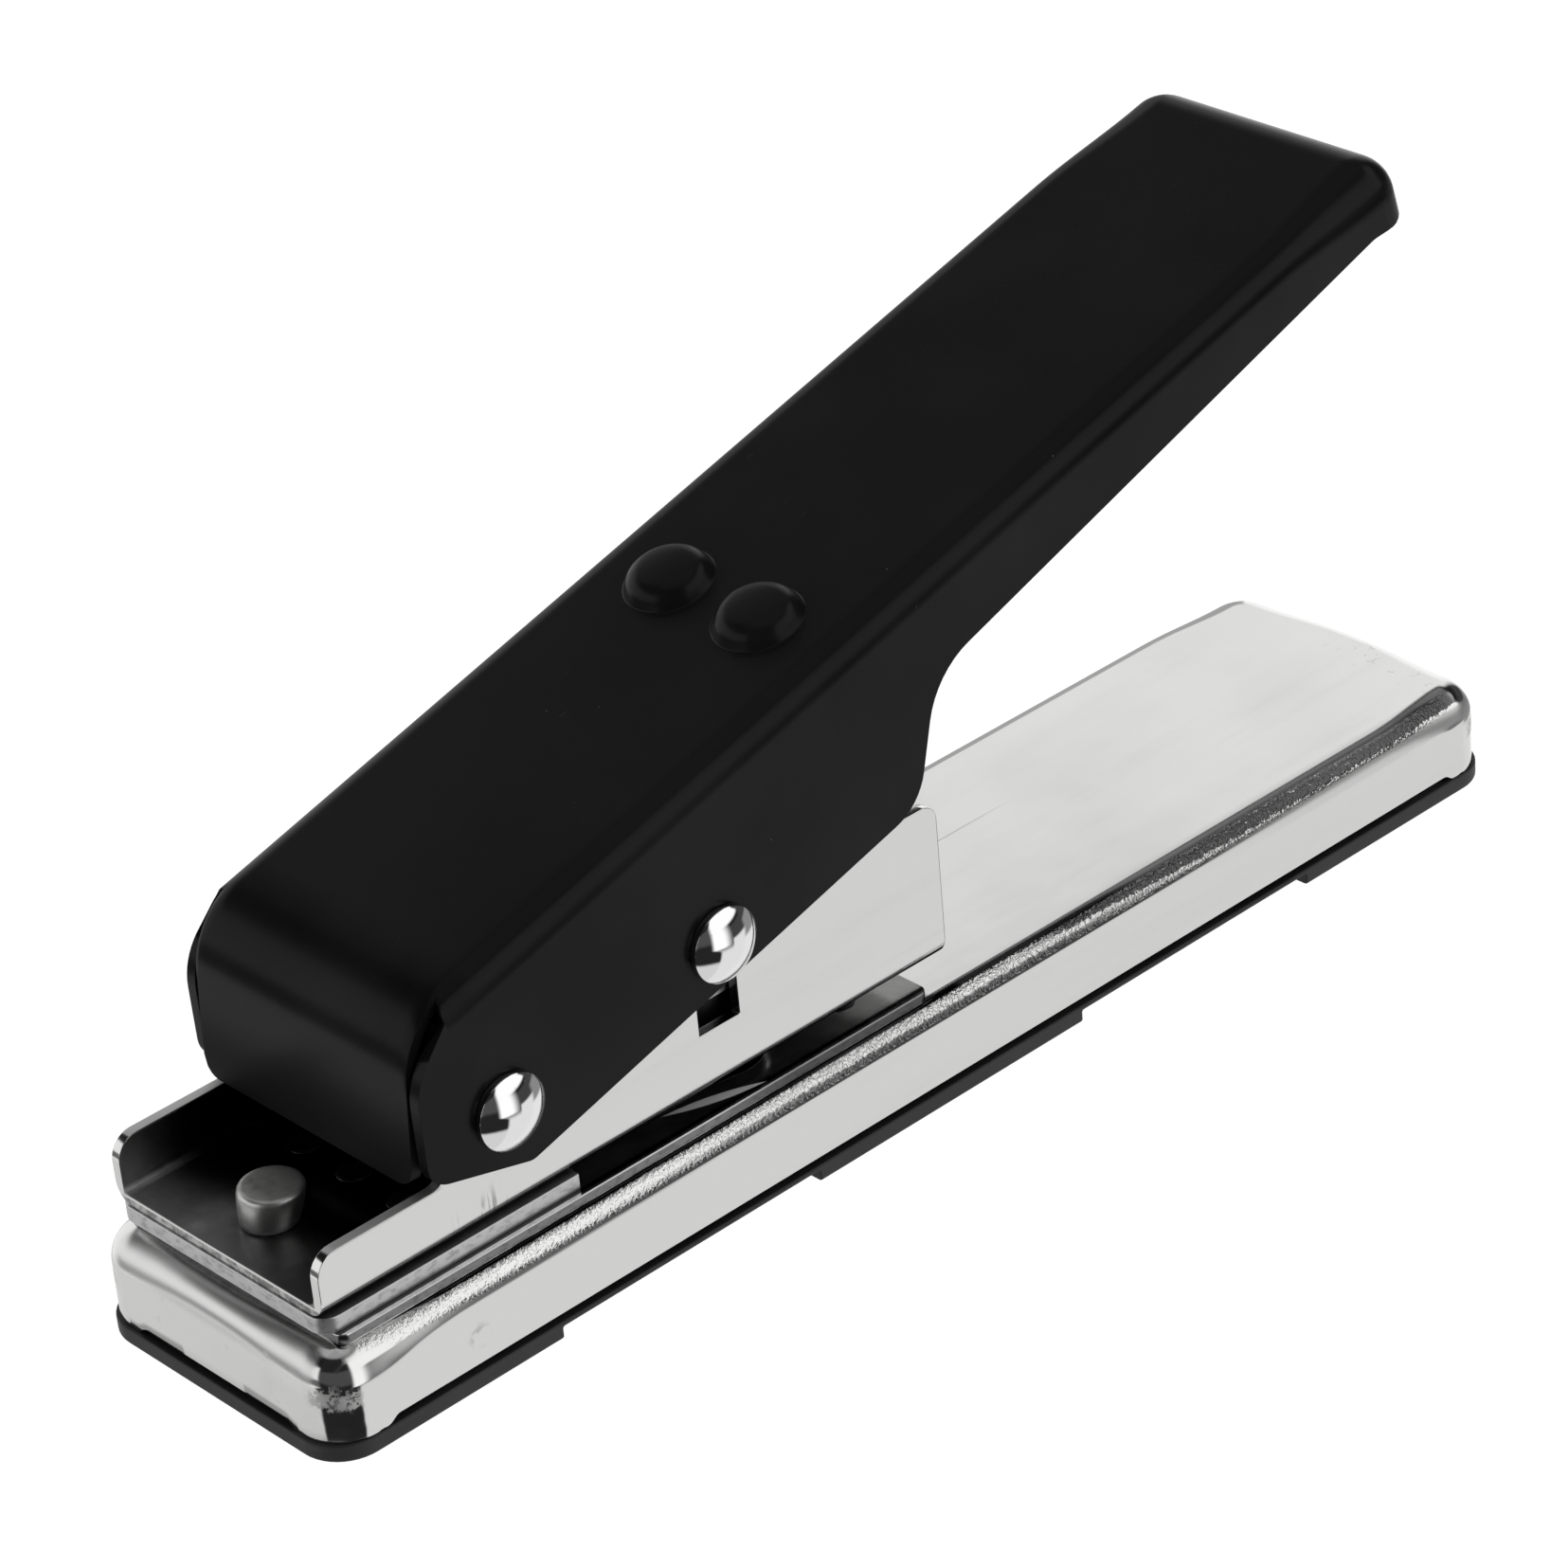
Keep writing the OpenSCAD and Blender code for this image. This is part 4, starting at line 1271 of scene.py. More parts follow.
def coil_tree(ends: Sequence[Point2] = ((0.1, 0.032), (0.9, 0.968))) -> TreeSheet:
    """Tree that winds a spring from its foot to its head, with its end coils closed.

    Args:
        ends: Share of the wire and share of the height where each end coil meets the open ones.

    Returns:
        The tree, with inputs for the wire, the coil, its way and the finish.
    """
    t = TreeSheet("wound_spring")
    turns = t.size("Turns", "NodeSocketFloat")
    coil = t.size("Coil Radius", "NodeSocketFloat")
    wire = t.size("Wire Radius", "NodeSocketFloat")
    foot = t.size("Foot", "NodeSocketVector")
    reach = t.size("Reach", "NodeSocketVector")
    lean = t.size("Lean", "NodeSocketVector")
    points = t.size("Points", "NodeSocketInt")
    finish = t.size("Finish", "NodeSocketMaterial")
    line = t.make("GeometryNodeCurvePrimitiveLine", None, {"End": (0.0, 0.0, 1.0)})
    cut = t.make("GeometryNodeResampleCurve", None, {"Curve": line.outputs[0], "Count": points})
    along = t.make("GeometryNodeSplineParameter").outputs["Factor"]
    angle = t.number("MULTIPLY", along, t.number("MULTIPLY", turns, 2 * math.pi))
    rise = t.make("ShaderNodeFloatCurve", None, {"Value": along})
    curve = rise.mapping.curves[0]
    for end in ends:
        curve.points.new(*end)
    for point in curve.points:
        point.handle_type = "VECTOR"
    rise.mapping.update()
    side = t.vector("SCALE", {0: lean, "Scale": t.number("COSINE", angle)})
    other = t.make("ShaderNodeCombineXYZ", None, {"Y": t.number("SINE", angle)}).outputs[0]
    ring = t.vector("ADD", {0: side, 1: other})
    arm = t.vector("SCALE", {0: ring, "Scale": coil})
    climb = t.vector("SCALE", {0: reach, "Scale": rise.outputs[0]})
    spot = t.vector("ADD", {0: t.vector("ADD", {0: foot, 1: climb}), 1: arm})
    wound = t.make("GeometryNodeSetPosition", None, {"Geometry": cut.outputs[0], "Position": spot})
    round_wire = t.make("GeometryNodeCurvePrimitiveCircle", None, {"Resolution": 10, "Radius": wire})
    tube = t.make(
        "GeometryNodeCurveToMesh",
        None,
        {"Curve": wound.outputs[0], "Profile Curve": round_wire.outputs[0], "Fill Caps": True},
    )
    t.close(tube.outputs[0], finish)
    return t


# Sub-assemblies


@dataclass
class Handle:
    """Pressed sheet handle: roof, cheeks, front flap, closed tip and two domes."""

    pivot: Point2 = (-57.5, 27.55)
    tilt: float = 15.2
    length: float = 138.2
    half_w: float = 17.4
    roof: float = 15.6
    sheet: float = 1.3
    bend: float = 3.1
    tip_bend: float = 4.5
    tip_ease: float = 16.0
    tip_steps: int = 9
    pitch: float = 2.6
    tip_pitch: float = 1.0
    edge: float = 0.22
    heart: Point2 = (60.0, 5.0)
    notch_steps: int = 4
    notch_angle: float = 72.0
    nose_drop: float = 2.14
    flap_steps: int = 14
    flap_rows: int = 7
    flap_rings: int = 4
    flap_bend: float = 9.0
    flap_lean: float = 19.3
    flap_front: float = -5.7
    flap_low: float = -1.3
    flap_corner: float = 2.2
    dome_u: float = 52.0358
    dome_y: float = 6.4
    dome_r: float = 4.95
    dome_h: float = 2.2
    dome_flank: float = 64.0
    dome_crown: float = 8.0
    dome_shoulder: float = 2.2
    dome_foot: float = 0.25
    dome_swell: float = 0.14
    dome_sides: int = 72
    dome_steps: tuple[int, int, int] = (6, 12, 5)
    border: float = 0.4
    rows: int = 56
    rings: tuple[float, ...] = (0, 9, 18, 26.8, 35.5, 45, 54, 63, 72, 81, 90)
    cheek: tuple[tuple[float, ...], ...] = (
        (-7.9, 10.0, 7.5),
        (-10.7, -1.0, 3.0),
        (0.4, -7.4, 2.0),
        (55.5, -7.4, 6.0),
        (62.3, 4.6, 9.0),
        (131.5, 8.6, 3.0),
    )
    tip_low: Point2 = (135.1, 8.0)
    finish: BlackPaint = field(default_factory=BlackPaint)

    def place(self, u: float, y: float, v: float) -> Vector:
        """Point of the handle's own axes, in metres in the frame.

        Args:
            u: Along the roof from the pivot.
            y: Across.
            v: Square to the roof.

        Returns:
            The point.
        """
        c, s = math.cos(math.radians(self.tilt)), math.sin(math.radians(self.tilt))
        return Vector((self.pivot[0] + u * c - v * s, y, self.pivot[1] + u * s + v * c)) * MM

    def bend_at(self, u: float) -> float:
        """Radius of the side bend, which grows towards the tip."""
        end = self.length - self.tip_bend
        return self.bend + (self.tip_bend - self.bend) * smooth((u - end + self.tip_ease) / self.tip_ease)

    def roof_start(self) -> float:
        """Where the flat roof begins, behind the front bend."""
        return self.flap_front + self.flap_bend * math.tan(math.radians(90 - self.flap_lean) / 2)

    def columns(self) -> list[float]:
        """Places along the roof where the surface is cut.

        Returns:
            The places, front to rear, close together at the tip.
        """
        start, end = self.roof_start(), self.length - self.tip_bend
        ease = end - self.tip_ease
        return spread(start, ease, self.pitch) + spread(ease, end, self.tip_pitch) + [end]

    def dome_profile(self) -> list[Point2]:
        """Radius and height of a pressed-out dome, from its foot to its top.

        Returns:
            A flat border, a small fillet, a sloping flank, a round shoulder and a broad, low crown.
        """
        r, shoulder = self.dome_foot, self.dome_shoulder
        steep, crown = math.radians(self.dome_flank), math.radians(self.dome_crown)
        foot_steps, shoulder_steps, crown_steps = self.dome_steps
        line = [(self.dome_r + self.border, 0.0)]
        for k in range(foot_steps + 1):
            a = steep * k / foot_steps
            line.append((self.dome_r - r * math.sin(a), r - r * math.cos(a)))
        rise = shoulder * (math.cos(crown) - math.cos(steep))
        flank = self.dome_h - line[-1][1] - rise - self.dome_swell
        reach, height = line[-1][0] - flank / math.tan(steep), line[-1][1] + flank
        for k in range(shoulder_steps + 1):
            a = steep + (crown - steep) * k / shoulder_steps
            out = shoulder * (math.sin(steep) - math.sin(a))
            line.append((reach - out, height + shoulder * (math.cos(a) - math.cos(steep))))
        edge, low = line[-1]
        for k in range(1, crown_steps + 1):
            share = 1 - k / crown_steps
            line.append((edge * share, low + (self.dome_h - low) * (1 - share * share)))
        return line

    def add_dome(self, bm: bmesh.types.BMesh, y: float) -> list[bmesh.types.BMVert]:
        """Adds one dome.

        Args:
            bm: The mesh.
            y: Its place across.

        Returns:
            The points of its foot.
        """
        sides = self.dome_sides
        rows = []
        for reach, height in self.dome_profile():
            ring = []
            for k in range(1 if reach < TINY else sides):
                a = 2 * math.pi * k / sides
                u, across = self.dome_u + reach * math.cos(a), y + reach * math.sin(a)
                ring.append(bm.verts.new(self.place(u, across, self.roof + height)))
            rows.append(ring)
        for low, high in zip(rows, rows[1:]):
            for k in range(sides):
                loop = (low[k], low[(k + 1) % sides], high[(k + 1) % len(high)], high[k % len(high)])
                bm.faces.new(list(dict.fromkeys(loop)))
        return rows[0]

    def side_ring(self, u: float, side: int, angle: float) -> Vector:
        """Point of a side bend.

        Args:
            u: Along the roof.
            side: -1 for the near side, 1 for the far one.
            angle: 0 at the roof, 90 at the cheek.

        Returns:
            The point in metres.
        """
        r, a = self.bend_at(u), math.radians(angle)
        across = self.half_w - r + r * math.sin(a)
        return self.place(u, side * across, self.roof - r + r * math.cos(a))

    def tip_point(self, side: int, turn: float, angle: float, y: Optional[float] = None) -> Vector:
        """Point of the tip's round corner or of its rear bend.

        Args:
            side: -1 or 1.
            turn: 0 at the side, 90 at the rear.
            angle: 0 at the roof, 90 at the wall.
            y: Place across on the rear bend, where it isn't on a corner.

        Returns:
            The point in metres.
        """
        r, a, w = self.tip_bend, math.radians(angle), math.radians(turn)
        out = r * math.sin(a)
        across = side * (self.half_w - r + out * math.cos(w)) if y is None else y
        return self.place(self.length - r + out * math.sin(w), across, self.roof - r + r * math.cos(a))

    def tip_floor(self, side: int, turn: float, y: Optional[float] = None) -> Vector:
        """Point of the tip's lower edge, below tip_point at 90 degrees.

        Args:
            side: -1 or 1.
            turn: 0 at the side, 90 at the rear.
            y: Place across on the rear wall, where it isn't on a corner.

        Returns:
            The point in metres.
        """
        low_u, low_v = self.tip_low
        r, w = self.tip_bend, math.radians(turn)
        start = self.length - r
        root_u, root_v, _ = self.cheek[-1]
        slope = (root_v - low_v) / (low_u - root_u)
        v = max(root_v - slope * (start + r * w - root_u), low_v)
        across = side * (self.half_w - r + r * math.cos(w)) if y is None else y
        return self.place(start + r * math.sin(w), across, v)

    def strip(self, bm: bmesh.types.BMesh, grid: list[list[Vector]]) -> None:
        """Adds a grid of points as faces, leaving out what has shrunk to nothing.

        Args:
            bm: The mesh.
            grid: Rows of points, all of one length.
        """
        rows = [[bm.verts.new(p) for p in line] for line in grid]
        for a, b in zip(rows, rows[1:]):
            for k in range(len(a) - 1):
                corners = (a[k], a[k + 1], b[k + 1], b[k])
                spots = {tuple(round(x, 7) for x in c.co): c for c in corners}
                if len(spots) == 4:
                    bm.faces.new(corners)
                elif len(spots) == 3:
                    bm.faces.new(list(spots.values()))

    def roof_row(self, u: float) -> list[float]:
        """Places across the flat roof at u."""
        half = self.half_w - self.bend_at(u)
        return [half * (2 * k / self.rows - 1) for k in range(self.rows + 1)]

    def inside_border(self, u: float, y: float) -> Point2:
        """Point of the roof's outline, moved in by the flat border that keeps the roof's shading flat.

        Args:
            u: Along the roof.
            y: Across.

        Returns:
            Its new place along and across.
        """
        start, end = self.roof_start() + self.border, self.length - self.tip_bend - self.border
        half = self.half_w - self.bend_at(u) - self.border
        return min(max(u, start), end), min(max(y, -half), half)

    def add_roof(self, bm: bmesh.types.BMesh) -> None:
        """Roof with its domes, and the rear bend and wall of the tip.

        Args:
            bm: The mesh.
        """
        marks = self.columns()
        last = self.roof_row(marks[-1])
        loop = [(marks[0], y) for y in self.roof_row(marks[0])]
        loop += [(u, self.roof_row(u)[-1]) for u in marks[1:-1]]
        loop += [(marks[-1], y) for y in reversed(last)]
        loop += [(u, self.roof_row(u)[0]) for u in reversed(marks[1:-1])]
        inner = [self.inside_border(u, y) for u, y in loop]
        frames = [[self.place(u, y, self.roof) for u, y in line + line[:1]] for line in (loop, inner)]
        self.strip(bm, frames)
        rims = [[bm.verts.new(self.place(u, y, self.roof)) for u, y in inner]]
        rims += [self.add_dome(bm, y) for y in (-self.dome_y, self.dome_y)]
        edges = []
        for rim in rims:
            for a, b in zip(rim, rim[1:] + rim[:1]):
                edges.append(bm.edges.get((a, b)) or bm.edges.new((a, b)))
        bmesh.ops.triangle_fill(bm, use_beauty=True, use_dissolve=False, edges=edges)
        rear = [[self.tip_point(1, 90, a, y) for y in last] for a in self.rings]
        rear.append([self.tip_floor(1, 90, y) for y in last])
        self.strip(bm, rear)

    def add_side(self, bm: bmesh.types.BMesh, side: int) -> None:
        """Side bend, flat cheek and round tip corner of one side.

        Args:
            bm: The mesh.
            side: -1 for the near side, 1 for the far one.
        """
        marks = self.columns()
        self.strip(bm, [[self.side_ring(u, side, a) for a in self.rings] for u in marks])
        front = self.notch_marks()
        bend = []
        for k, u in enumerate(front):
            bend.append([self.side_ring(u, side, a) for a in self.notch_rings(k)])
        self.strip(bm, bend)
        across, drop = self.flap_edge()[-1]
        filler = []
        for k in range(self.notch_steps):
            seam = self.flap_point(k, side * across, drop)
            filler.append([seam, self.side_ring(front[k], side, self.rings[self.flap_rings])])
        self.strip(bm, filler)
        corner = []
        for k in range(self.tip_steps + 1):
            w = 90.0 * k / self.tip_steps
            corner.append([self.tip_point(side, w, a) for a in self.rings] + [self.tip_floor(side, w)])
        self.strip(bm, corner)
        self.add_cheek(bm, side, front[:0:-1] + marks)

    def notch_marks(self) -> list[float]:
        """Places along the side bend beside the flap's first rows.

        Returns:
            The places, from the roof to the notch.
        """
        swing = math.radians(90 - self.flap_lean)
        turns = [swing * k / self.flap_steps for k in range(self.notch_steps + 1)]
        return [self.roof_start() - self.flap_bend * math.sin(a) for a in turns]

    def notch_rings(self, k: int) -> list[float]:
        """Angles of the side bend at a mark before the notch, which cuts the last one down.

        Args:
            k: Number of the mark.

        Returns:
            The angles, in degrees.
        """
        late = self.rings[self.flap_rings :]
        share = (90 - self.notch_angle) / (90 - late[0]) if k == self.notch_steps else 1.0
        return [90 - (90 - a) * share for a in late]

    def flap_edge(self) -> list[Point2]:
        """Outer points of the flap, where the side bend begins.

        Returns:
            For each its place across and its drop below the roof.
        """
        r = self.bend
        turns = [math.radians(a) for a in self.rings[1 : self.flap_rings]]
        return [(self.half_w - r + r * math.sin(a), r * (1 - math.cos(a))) for a in turns]

    def flap_point(self, k: int, y: float, drop: float) -> Vector:
        """Point of the front bend.

        Args:
            k: Step along the bend.
            y: Place across.
            drop: How far the side bend has dropped there.

        Returns:
            The point in metres.
        """
        a = math.radians(90 - self.flap_lean) * k / self.flap_steps
        reach = self.flap_bend - drop * (1 - k / self.flap_steps)
        return self.place(
            self.roof_start() - reach * math.sin(a), y, self.roof - self.flap_bend + reach * math.cos(a)
        )

    def add_cheek(self, bm: bmesh.types.BMesh, side: int, marks: list[float]) -> None:
        """Flat cheek and grip side as one face.

        Args:
            bm: The mesh.
            side: -1 or 1.
            marks: Places of the side bend's columns, front to rear.
        """
        upper = [self.side_ring(u, side, 90) for u in reversed(marks)]
        tip = self.notch_rings(self.notch_steps)
        nose = [self.side_ring(marks[0], side, a) for a in reversed(tip[:-1])]
        corners = [(marks[0], self.roof - self.nose_drop), *self.cheek, self.tip_low]
        line = round_corners(corners)[1:-1]
        limit = self.length - self.tip_bend
        lower = [self.place(u, side * self.half_w, v) for u, v in line if u < limit - 0.01]
        loop = upper + nose + lower + [self.tip_floor(side, 0)]
        bm.faces.new([bm.verts.new(p) for p in loop])

    def add_flap(self, bm: bmesh.types.BMesh) -> None:
        """Front bend and flap, a little narrower than the room between the cheeks.

        Args:
            bm: The mesh.
        """
        start = self.roof_start()
        edge = self.flap_edge()
        middle = [(y, 0.0) for y in self.roof_row(start)]
        across = [(-y, d) for y, d in reversed(edge)] + middle + edge
        lean = math.radians(self.flap_lean)
        swing = math.radians(90 - self.flap_lean)
        grid = [[self.flap_point(k, y, d) for y, d in across] for k in range(self.flap_steps + 1)]
        end_u = start - self.flap_bend * math.sin(swing)
        end_v = self.roof - self.flap_bend + self.flap_bend * math.cos(swing)
        run = (end_v - self.flap_low) / math.cos(lean)
        wide = edge[-1][0]
        for k in range(1, self.flap_rows + 1):
            row = []
            for y, _ in across:
                over = max(abs(y) - (wide - self.flap_corner), 0.0)
                lift = self.flap_corner - math.sqrt(max(self.flap_corner**2 - over**2, 0.0))
                gone = (run - lift) * k / self.flap_rows
                row.append(self.place(end_u - gone * math.sin(lean), y, end_v - gone * math.cos(lean)))
            grid.append(row)
        self.strip(bm, grid)

    def build(self) -> None:
        """Builds, dresses and seats the handle."""
        bm = bmesh.new()
        self.add_roof(bm)
        for side in (-1, 1):
            self.add_side(bm, side)
        self.add_flap(bm)
        bmesh.ops.remove_doubles(bm, verts=bm.verts, dist=2e-6)
        heart = self.place(self.heart[0], 0, self.heart[1])
        face_out(bm, lambda f: f.normal.dot(f.calc_center_median() - heart))
        piece = piece_from(bm, "handle_sheet")
        thicken(piece, self.sheet)
        soften(piece, self.edge, 50)
        paint(piece, self.finish.material())
        seat(piece, Body.HANDLE, Slot.PAINT, "handle")


@dataclass
class BaseShell:
    """Pressed base: drafted walls, a filleted top, fuller at the corners, and lips under the corners."""

    half_l: float = 83.2
    half_w: float = 18.5
    top: float = 11.8
    rim: float = 2.0
    sheet: float = 0.8
    corner: float = 5.0
    fillet: float = 2.5
    corner_fillet: float = 3.7
    draft: float = 0.1
    lip: float = 7.0
    relief: float = 0.75
    ease: float = 12.0
    hole_grow: float = 0.9
    corner_steps: int = 16
    fillet_steps: int = 12
    wall_steps: int = 5
    end_run: float = 9.0
    end_pitch: float = 0.4
    pitch: float = 2.5
    lip_ease: float = 1.5
    edge: float = 0.14
    heart_z: float = 5.0
    finish: ShellPlate = field(default_factory=lambda: ShellPlate("base_nickel", haze=0.03))

    def path(self) -> list[tuple[float, float, float, float, float]]:
        """Outline from above.

        Returns:
            For each point its place, its outward direction and how near a corner it is, from 0 to 1.
        """
        x, y, r = self.half_l - self.corner, self.half_w - self.corner, self.corner
        spots = []
        steps = self.corner_steps
        corners = ((x, y), (-x, y), (-x, -y), (x, -y))
        for turn, (cx, cy) in enumerate(corners):
            for k in range(steps + 1):
                a = math.pi / 2 * (turn + k / steps)
                c, s = math.cos(a), math.sin(a)
                spots.append((cx + r * c, cy + r * s, c, s, 1.0))
            next_x, next_y = corners[(turn + 1) % 4]
            run = math.hypot(next_x - cx, next_y - cy)
            a = math.pi / 2 * (turn + 1)
            c, s = math.cos(a), math.sin(a)
            for gone in self.straight_marks(run):
                t = gone / run
                near = 1 - smooth(min(gone, run - gone) / min(self.ease, run / 2))
                spots.append((cx + (next_x - cx) * t + r * c, cy + (next_y - cy) * t + r * s, c, s, near))
        return spots

    def straight_marks(self, run: float) -> list[float]:
        """Distances along a straight side.

        Args:
            run: Length of the side.

        Returns:
            The distances, close together near both ends.
        """
        fine = self.end_pitch
        close = min(self.end_run, run / 2 - 1)
        middle = spread(close, run - close, self.pitch)
        return spread(fine, close, fine) + middle + spread(run - close, run - fine / 2, fine)

    def low_edge(self, x: float, y: float) -> float:
        """Height of the wall's lower edge, which dips in a wavy lip under each corner.

        Args:
            x: Along.
            y: Across.

        Returns:
            The height.
        """
        inner_x = smooth((self.half_l - self.lip - abs(x)) / self.lip_ease + 0.5)
        inner_y = smooth((self.half_w - self.lip - abs(y)) / self.lip_ease + 0.5)
        raised = max(inner_x, inner_y)
        wave = 0.07 * math.sin(2.9 * x + 1.3 * y) + 0.05 * math.sin(1.7 * y - 2.3 * x)
        return self.rim + self.relief * raised + (1 - raised) * max(wave, 0.0)

    def pick_hole(self) -> list[Point2]:
        """Outline of the hole that the picks fall through."""
        return PickShape().outline(self.hole_grow)

    def section(self, low: float, near: float) -> list[Point2]:
        """Section of the fillet and the wall at one point of the outline.

        Args:
            low: Height of the wall's lower edge.
            near: How near a corner it is, from 0 to 1.

        Returns:
            Inset and height pairs, from the top down.
        """
        r = self.fillet + (self.corner_fillet - self.fillet) * near
        foot = self.top - r
        line = []
        for k in range(self.fillet_steps + 1):
            a = math.radians(90.0 * k / self.fillet_steps)
            line.append((r * (1 - math.sin(a)), self.top - r * (1 - math.cos(a))))
        for k in range(1, self.wall_steps + 1):
            line.append((0.0, foot + (low - foot) * k / self.wall_steps))
        return line

    def build(self) -> None:
        """Builds, dresses and seats the shell."""
        bm = bmesh.new()
        rings = []
        for x, y, nx, ny, near in self.path():
            line = []
            for inset, z in self.section(self.low_edge(x, y), near):
                inward = inset + self.draft * (z - self.rim) / (self.top - self.rim)
                line.append(bm.verts.new(Vector((x - nx * inward, y - ny * inward, z)) * MM))
            rings.append(line)
        count = len(rings)
        for i in range(count):
            a, b = rings[i], rings[(i + 1) % count]
            for k in range(len(a) - 1):
                bm.faces.new((a[k], b[k], b[k + 1], a[k + 1]))
        hole = [bm.verts.new(Vector((x, y, self.top)) * MM) for x, y in self.pick_hole()]
        rims = [bm.edges.get((rings[i][0], rings[(i + 1) % count][0])) for i in range(count)]
        cuts = [bm.edges.new((hole[i], hole[(i + 1) % len(hole)])) for i in range(len(hole))]
        bmesh.ops.triangle_fill(bm, use_beauty=True, use_dissolve=False, edges=rims + cuts)
        bmesh.ops.dissolve_limit(
            bm,
            angle_limit=math.radians(0.05),
            use_dissolve_boundaries=False,
            verts=[],
            edges=[e for e in bm.edges if all(abs(v.co.z - self.top * MM) < 1e-7 for v in e.verts)],
        )
        heart = Vector((0, 0, self.heart_z * MM))
        face_out(bm, lambda f: f.normal.dot(f.calc_center_median() - heart))
        piece = piece_from(bm, "base_shell_pressed")
        thicken(piece, self.sheet)
        soften(piece, self.edge, 50)
        paint(piece, self.finish.material())
        seat(piece, Body.FRAME, Slot.NICKEL, "base_shell")


@dataclass
class PickShape:
    """Outline of the pick, point towards the front."""

    x0: float = -47.4
    x1: float = -17.4
    width: float = 26.0
    tip_r: float = 2.6
    shoulder_r: float = 5.5
    bow_r: float = 40.0

    def outline(self, grow: float, steps: int = 10) -> list[Point2]:
        """Closed outline.

        Args:
            grow: Clearance added all round.
            steps: Steps of each arc.

        Returns:
            Points from the tip, along the near side first.
        """
        tip = Vector((self.x0 + self.tip_r, 0))
        shoulder_y = self.width / 2 - self.shoulder_r
        bow_in = self.bow_r - self.shoulder_r
        low = Vector((self.x1 - self.bow_r + math.sqrt(bow_in**2 - shoulder_y**2), -shoulder_y))
        gap = (low - tip).length
        along = (gap**2 + (self.bow_r - self.tip_r) ** 2 - (self.bow_r - self.shoulder_r) ** 2) / (2 * gap)
        rise = math.sqrt((self.bow_r - self.tip_r) ** 2 - along**2)
        way = (low - tip) / gap
        side = tip + way * along + Vector((-way.y, way.x)) * rise
        back = Vector((self.x1 - self.bow_r, 0))
        a_tip = math.atan2((tip - side).y, (tip - side).x)
        a_low = math.atan2((low - side).y, (low - side).x)
        a_back = math.atan2((low - back).y, (low - back).x)
        half: list[Point2] = [(self.x0 - grow, 0.0)]
        arcs = (
            (tip, self.tip_r, -math.pi, a_tip),
            (side, self.bow_r, a_tip, a_low),
            (low, self.shoulder_r, a_low, a_back),
            (back, self.bow_r, a_back, 0.0),
        )
        for middle, radius, start, end in arcs:
            reach = radius + grow
            for k in range(1, steps + 1):
                a = start + (end - start) * k / steps
                half.append((middle.x + reach * math.cos(a), middle.y + reach * math.sin(a)))
        return half + [(x, -y) for x, y in reversed(half[1:-1])]


@dataclass
class Channel:
    """Plated channel with the spacer, the die plate and the backing plate under it."""

    edge: float = 0.32
    spacer_edge: float = 0.14
    plate_edge: float = 0.12
    finish: ChannelPlate = field(
        default_factory=lambda: ChannelPlate("channel_nickel", tint=0.74, gloss=0.07)
    )
    spacer_finish: CutEdge = field(
        default_factory=lambda: CutEdge("spacer_edge", low=13.0, high=14.8, side=0.6, rim=0.68)
    )
    die_finish: CutEdge = field(
        default_factory=lambda: CutEdge(
            "die_edge", low=11.8, high=13.0, side=0.22, rim=0.7, gloss=0.14, crease=15.75
        )
    )
    backing_finish: GroundSteel = field(default_factory=lambda: GroundSteel("backing_steel"))

    def build(self) -> None:
        """Builds, dresses and seats the channel and its plates."""
        parts = (
            ("channel_frame", "channel_bent", self.edge, self.finish.material(), Slot.NICKEL),
            ("front_spacer", "spacer_plate", self.spacer_edge, self.spacer_finish.material(), Slot.NICKEL),
            ("die_plate", "die_sheet", self.plate_edge, self.die_finish.material(), Slot.NICKEL),
            ("backing_plate", "backing_sheet", self.plate_edge, self.backing_finish.material(), Slot.STEEL),
        )
        for node, name, edge, material, slot in parts:
            dress_node(node, name, edge, material, Body.FRAME, slot)


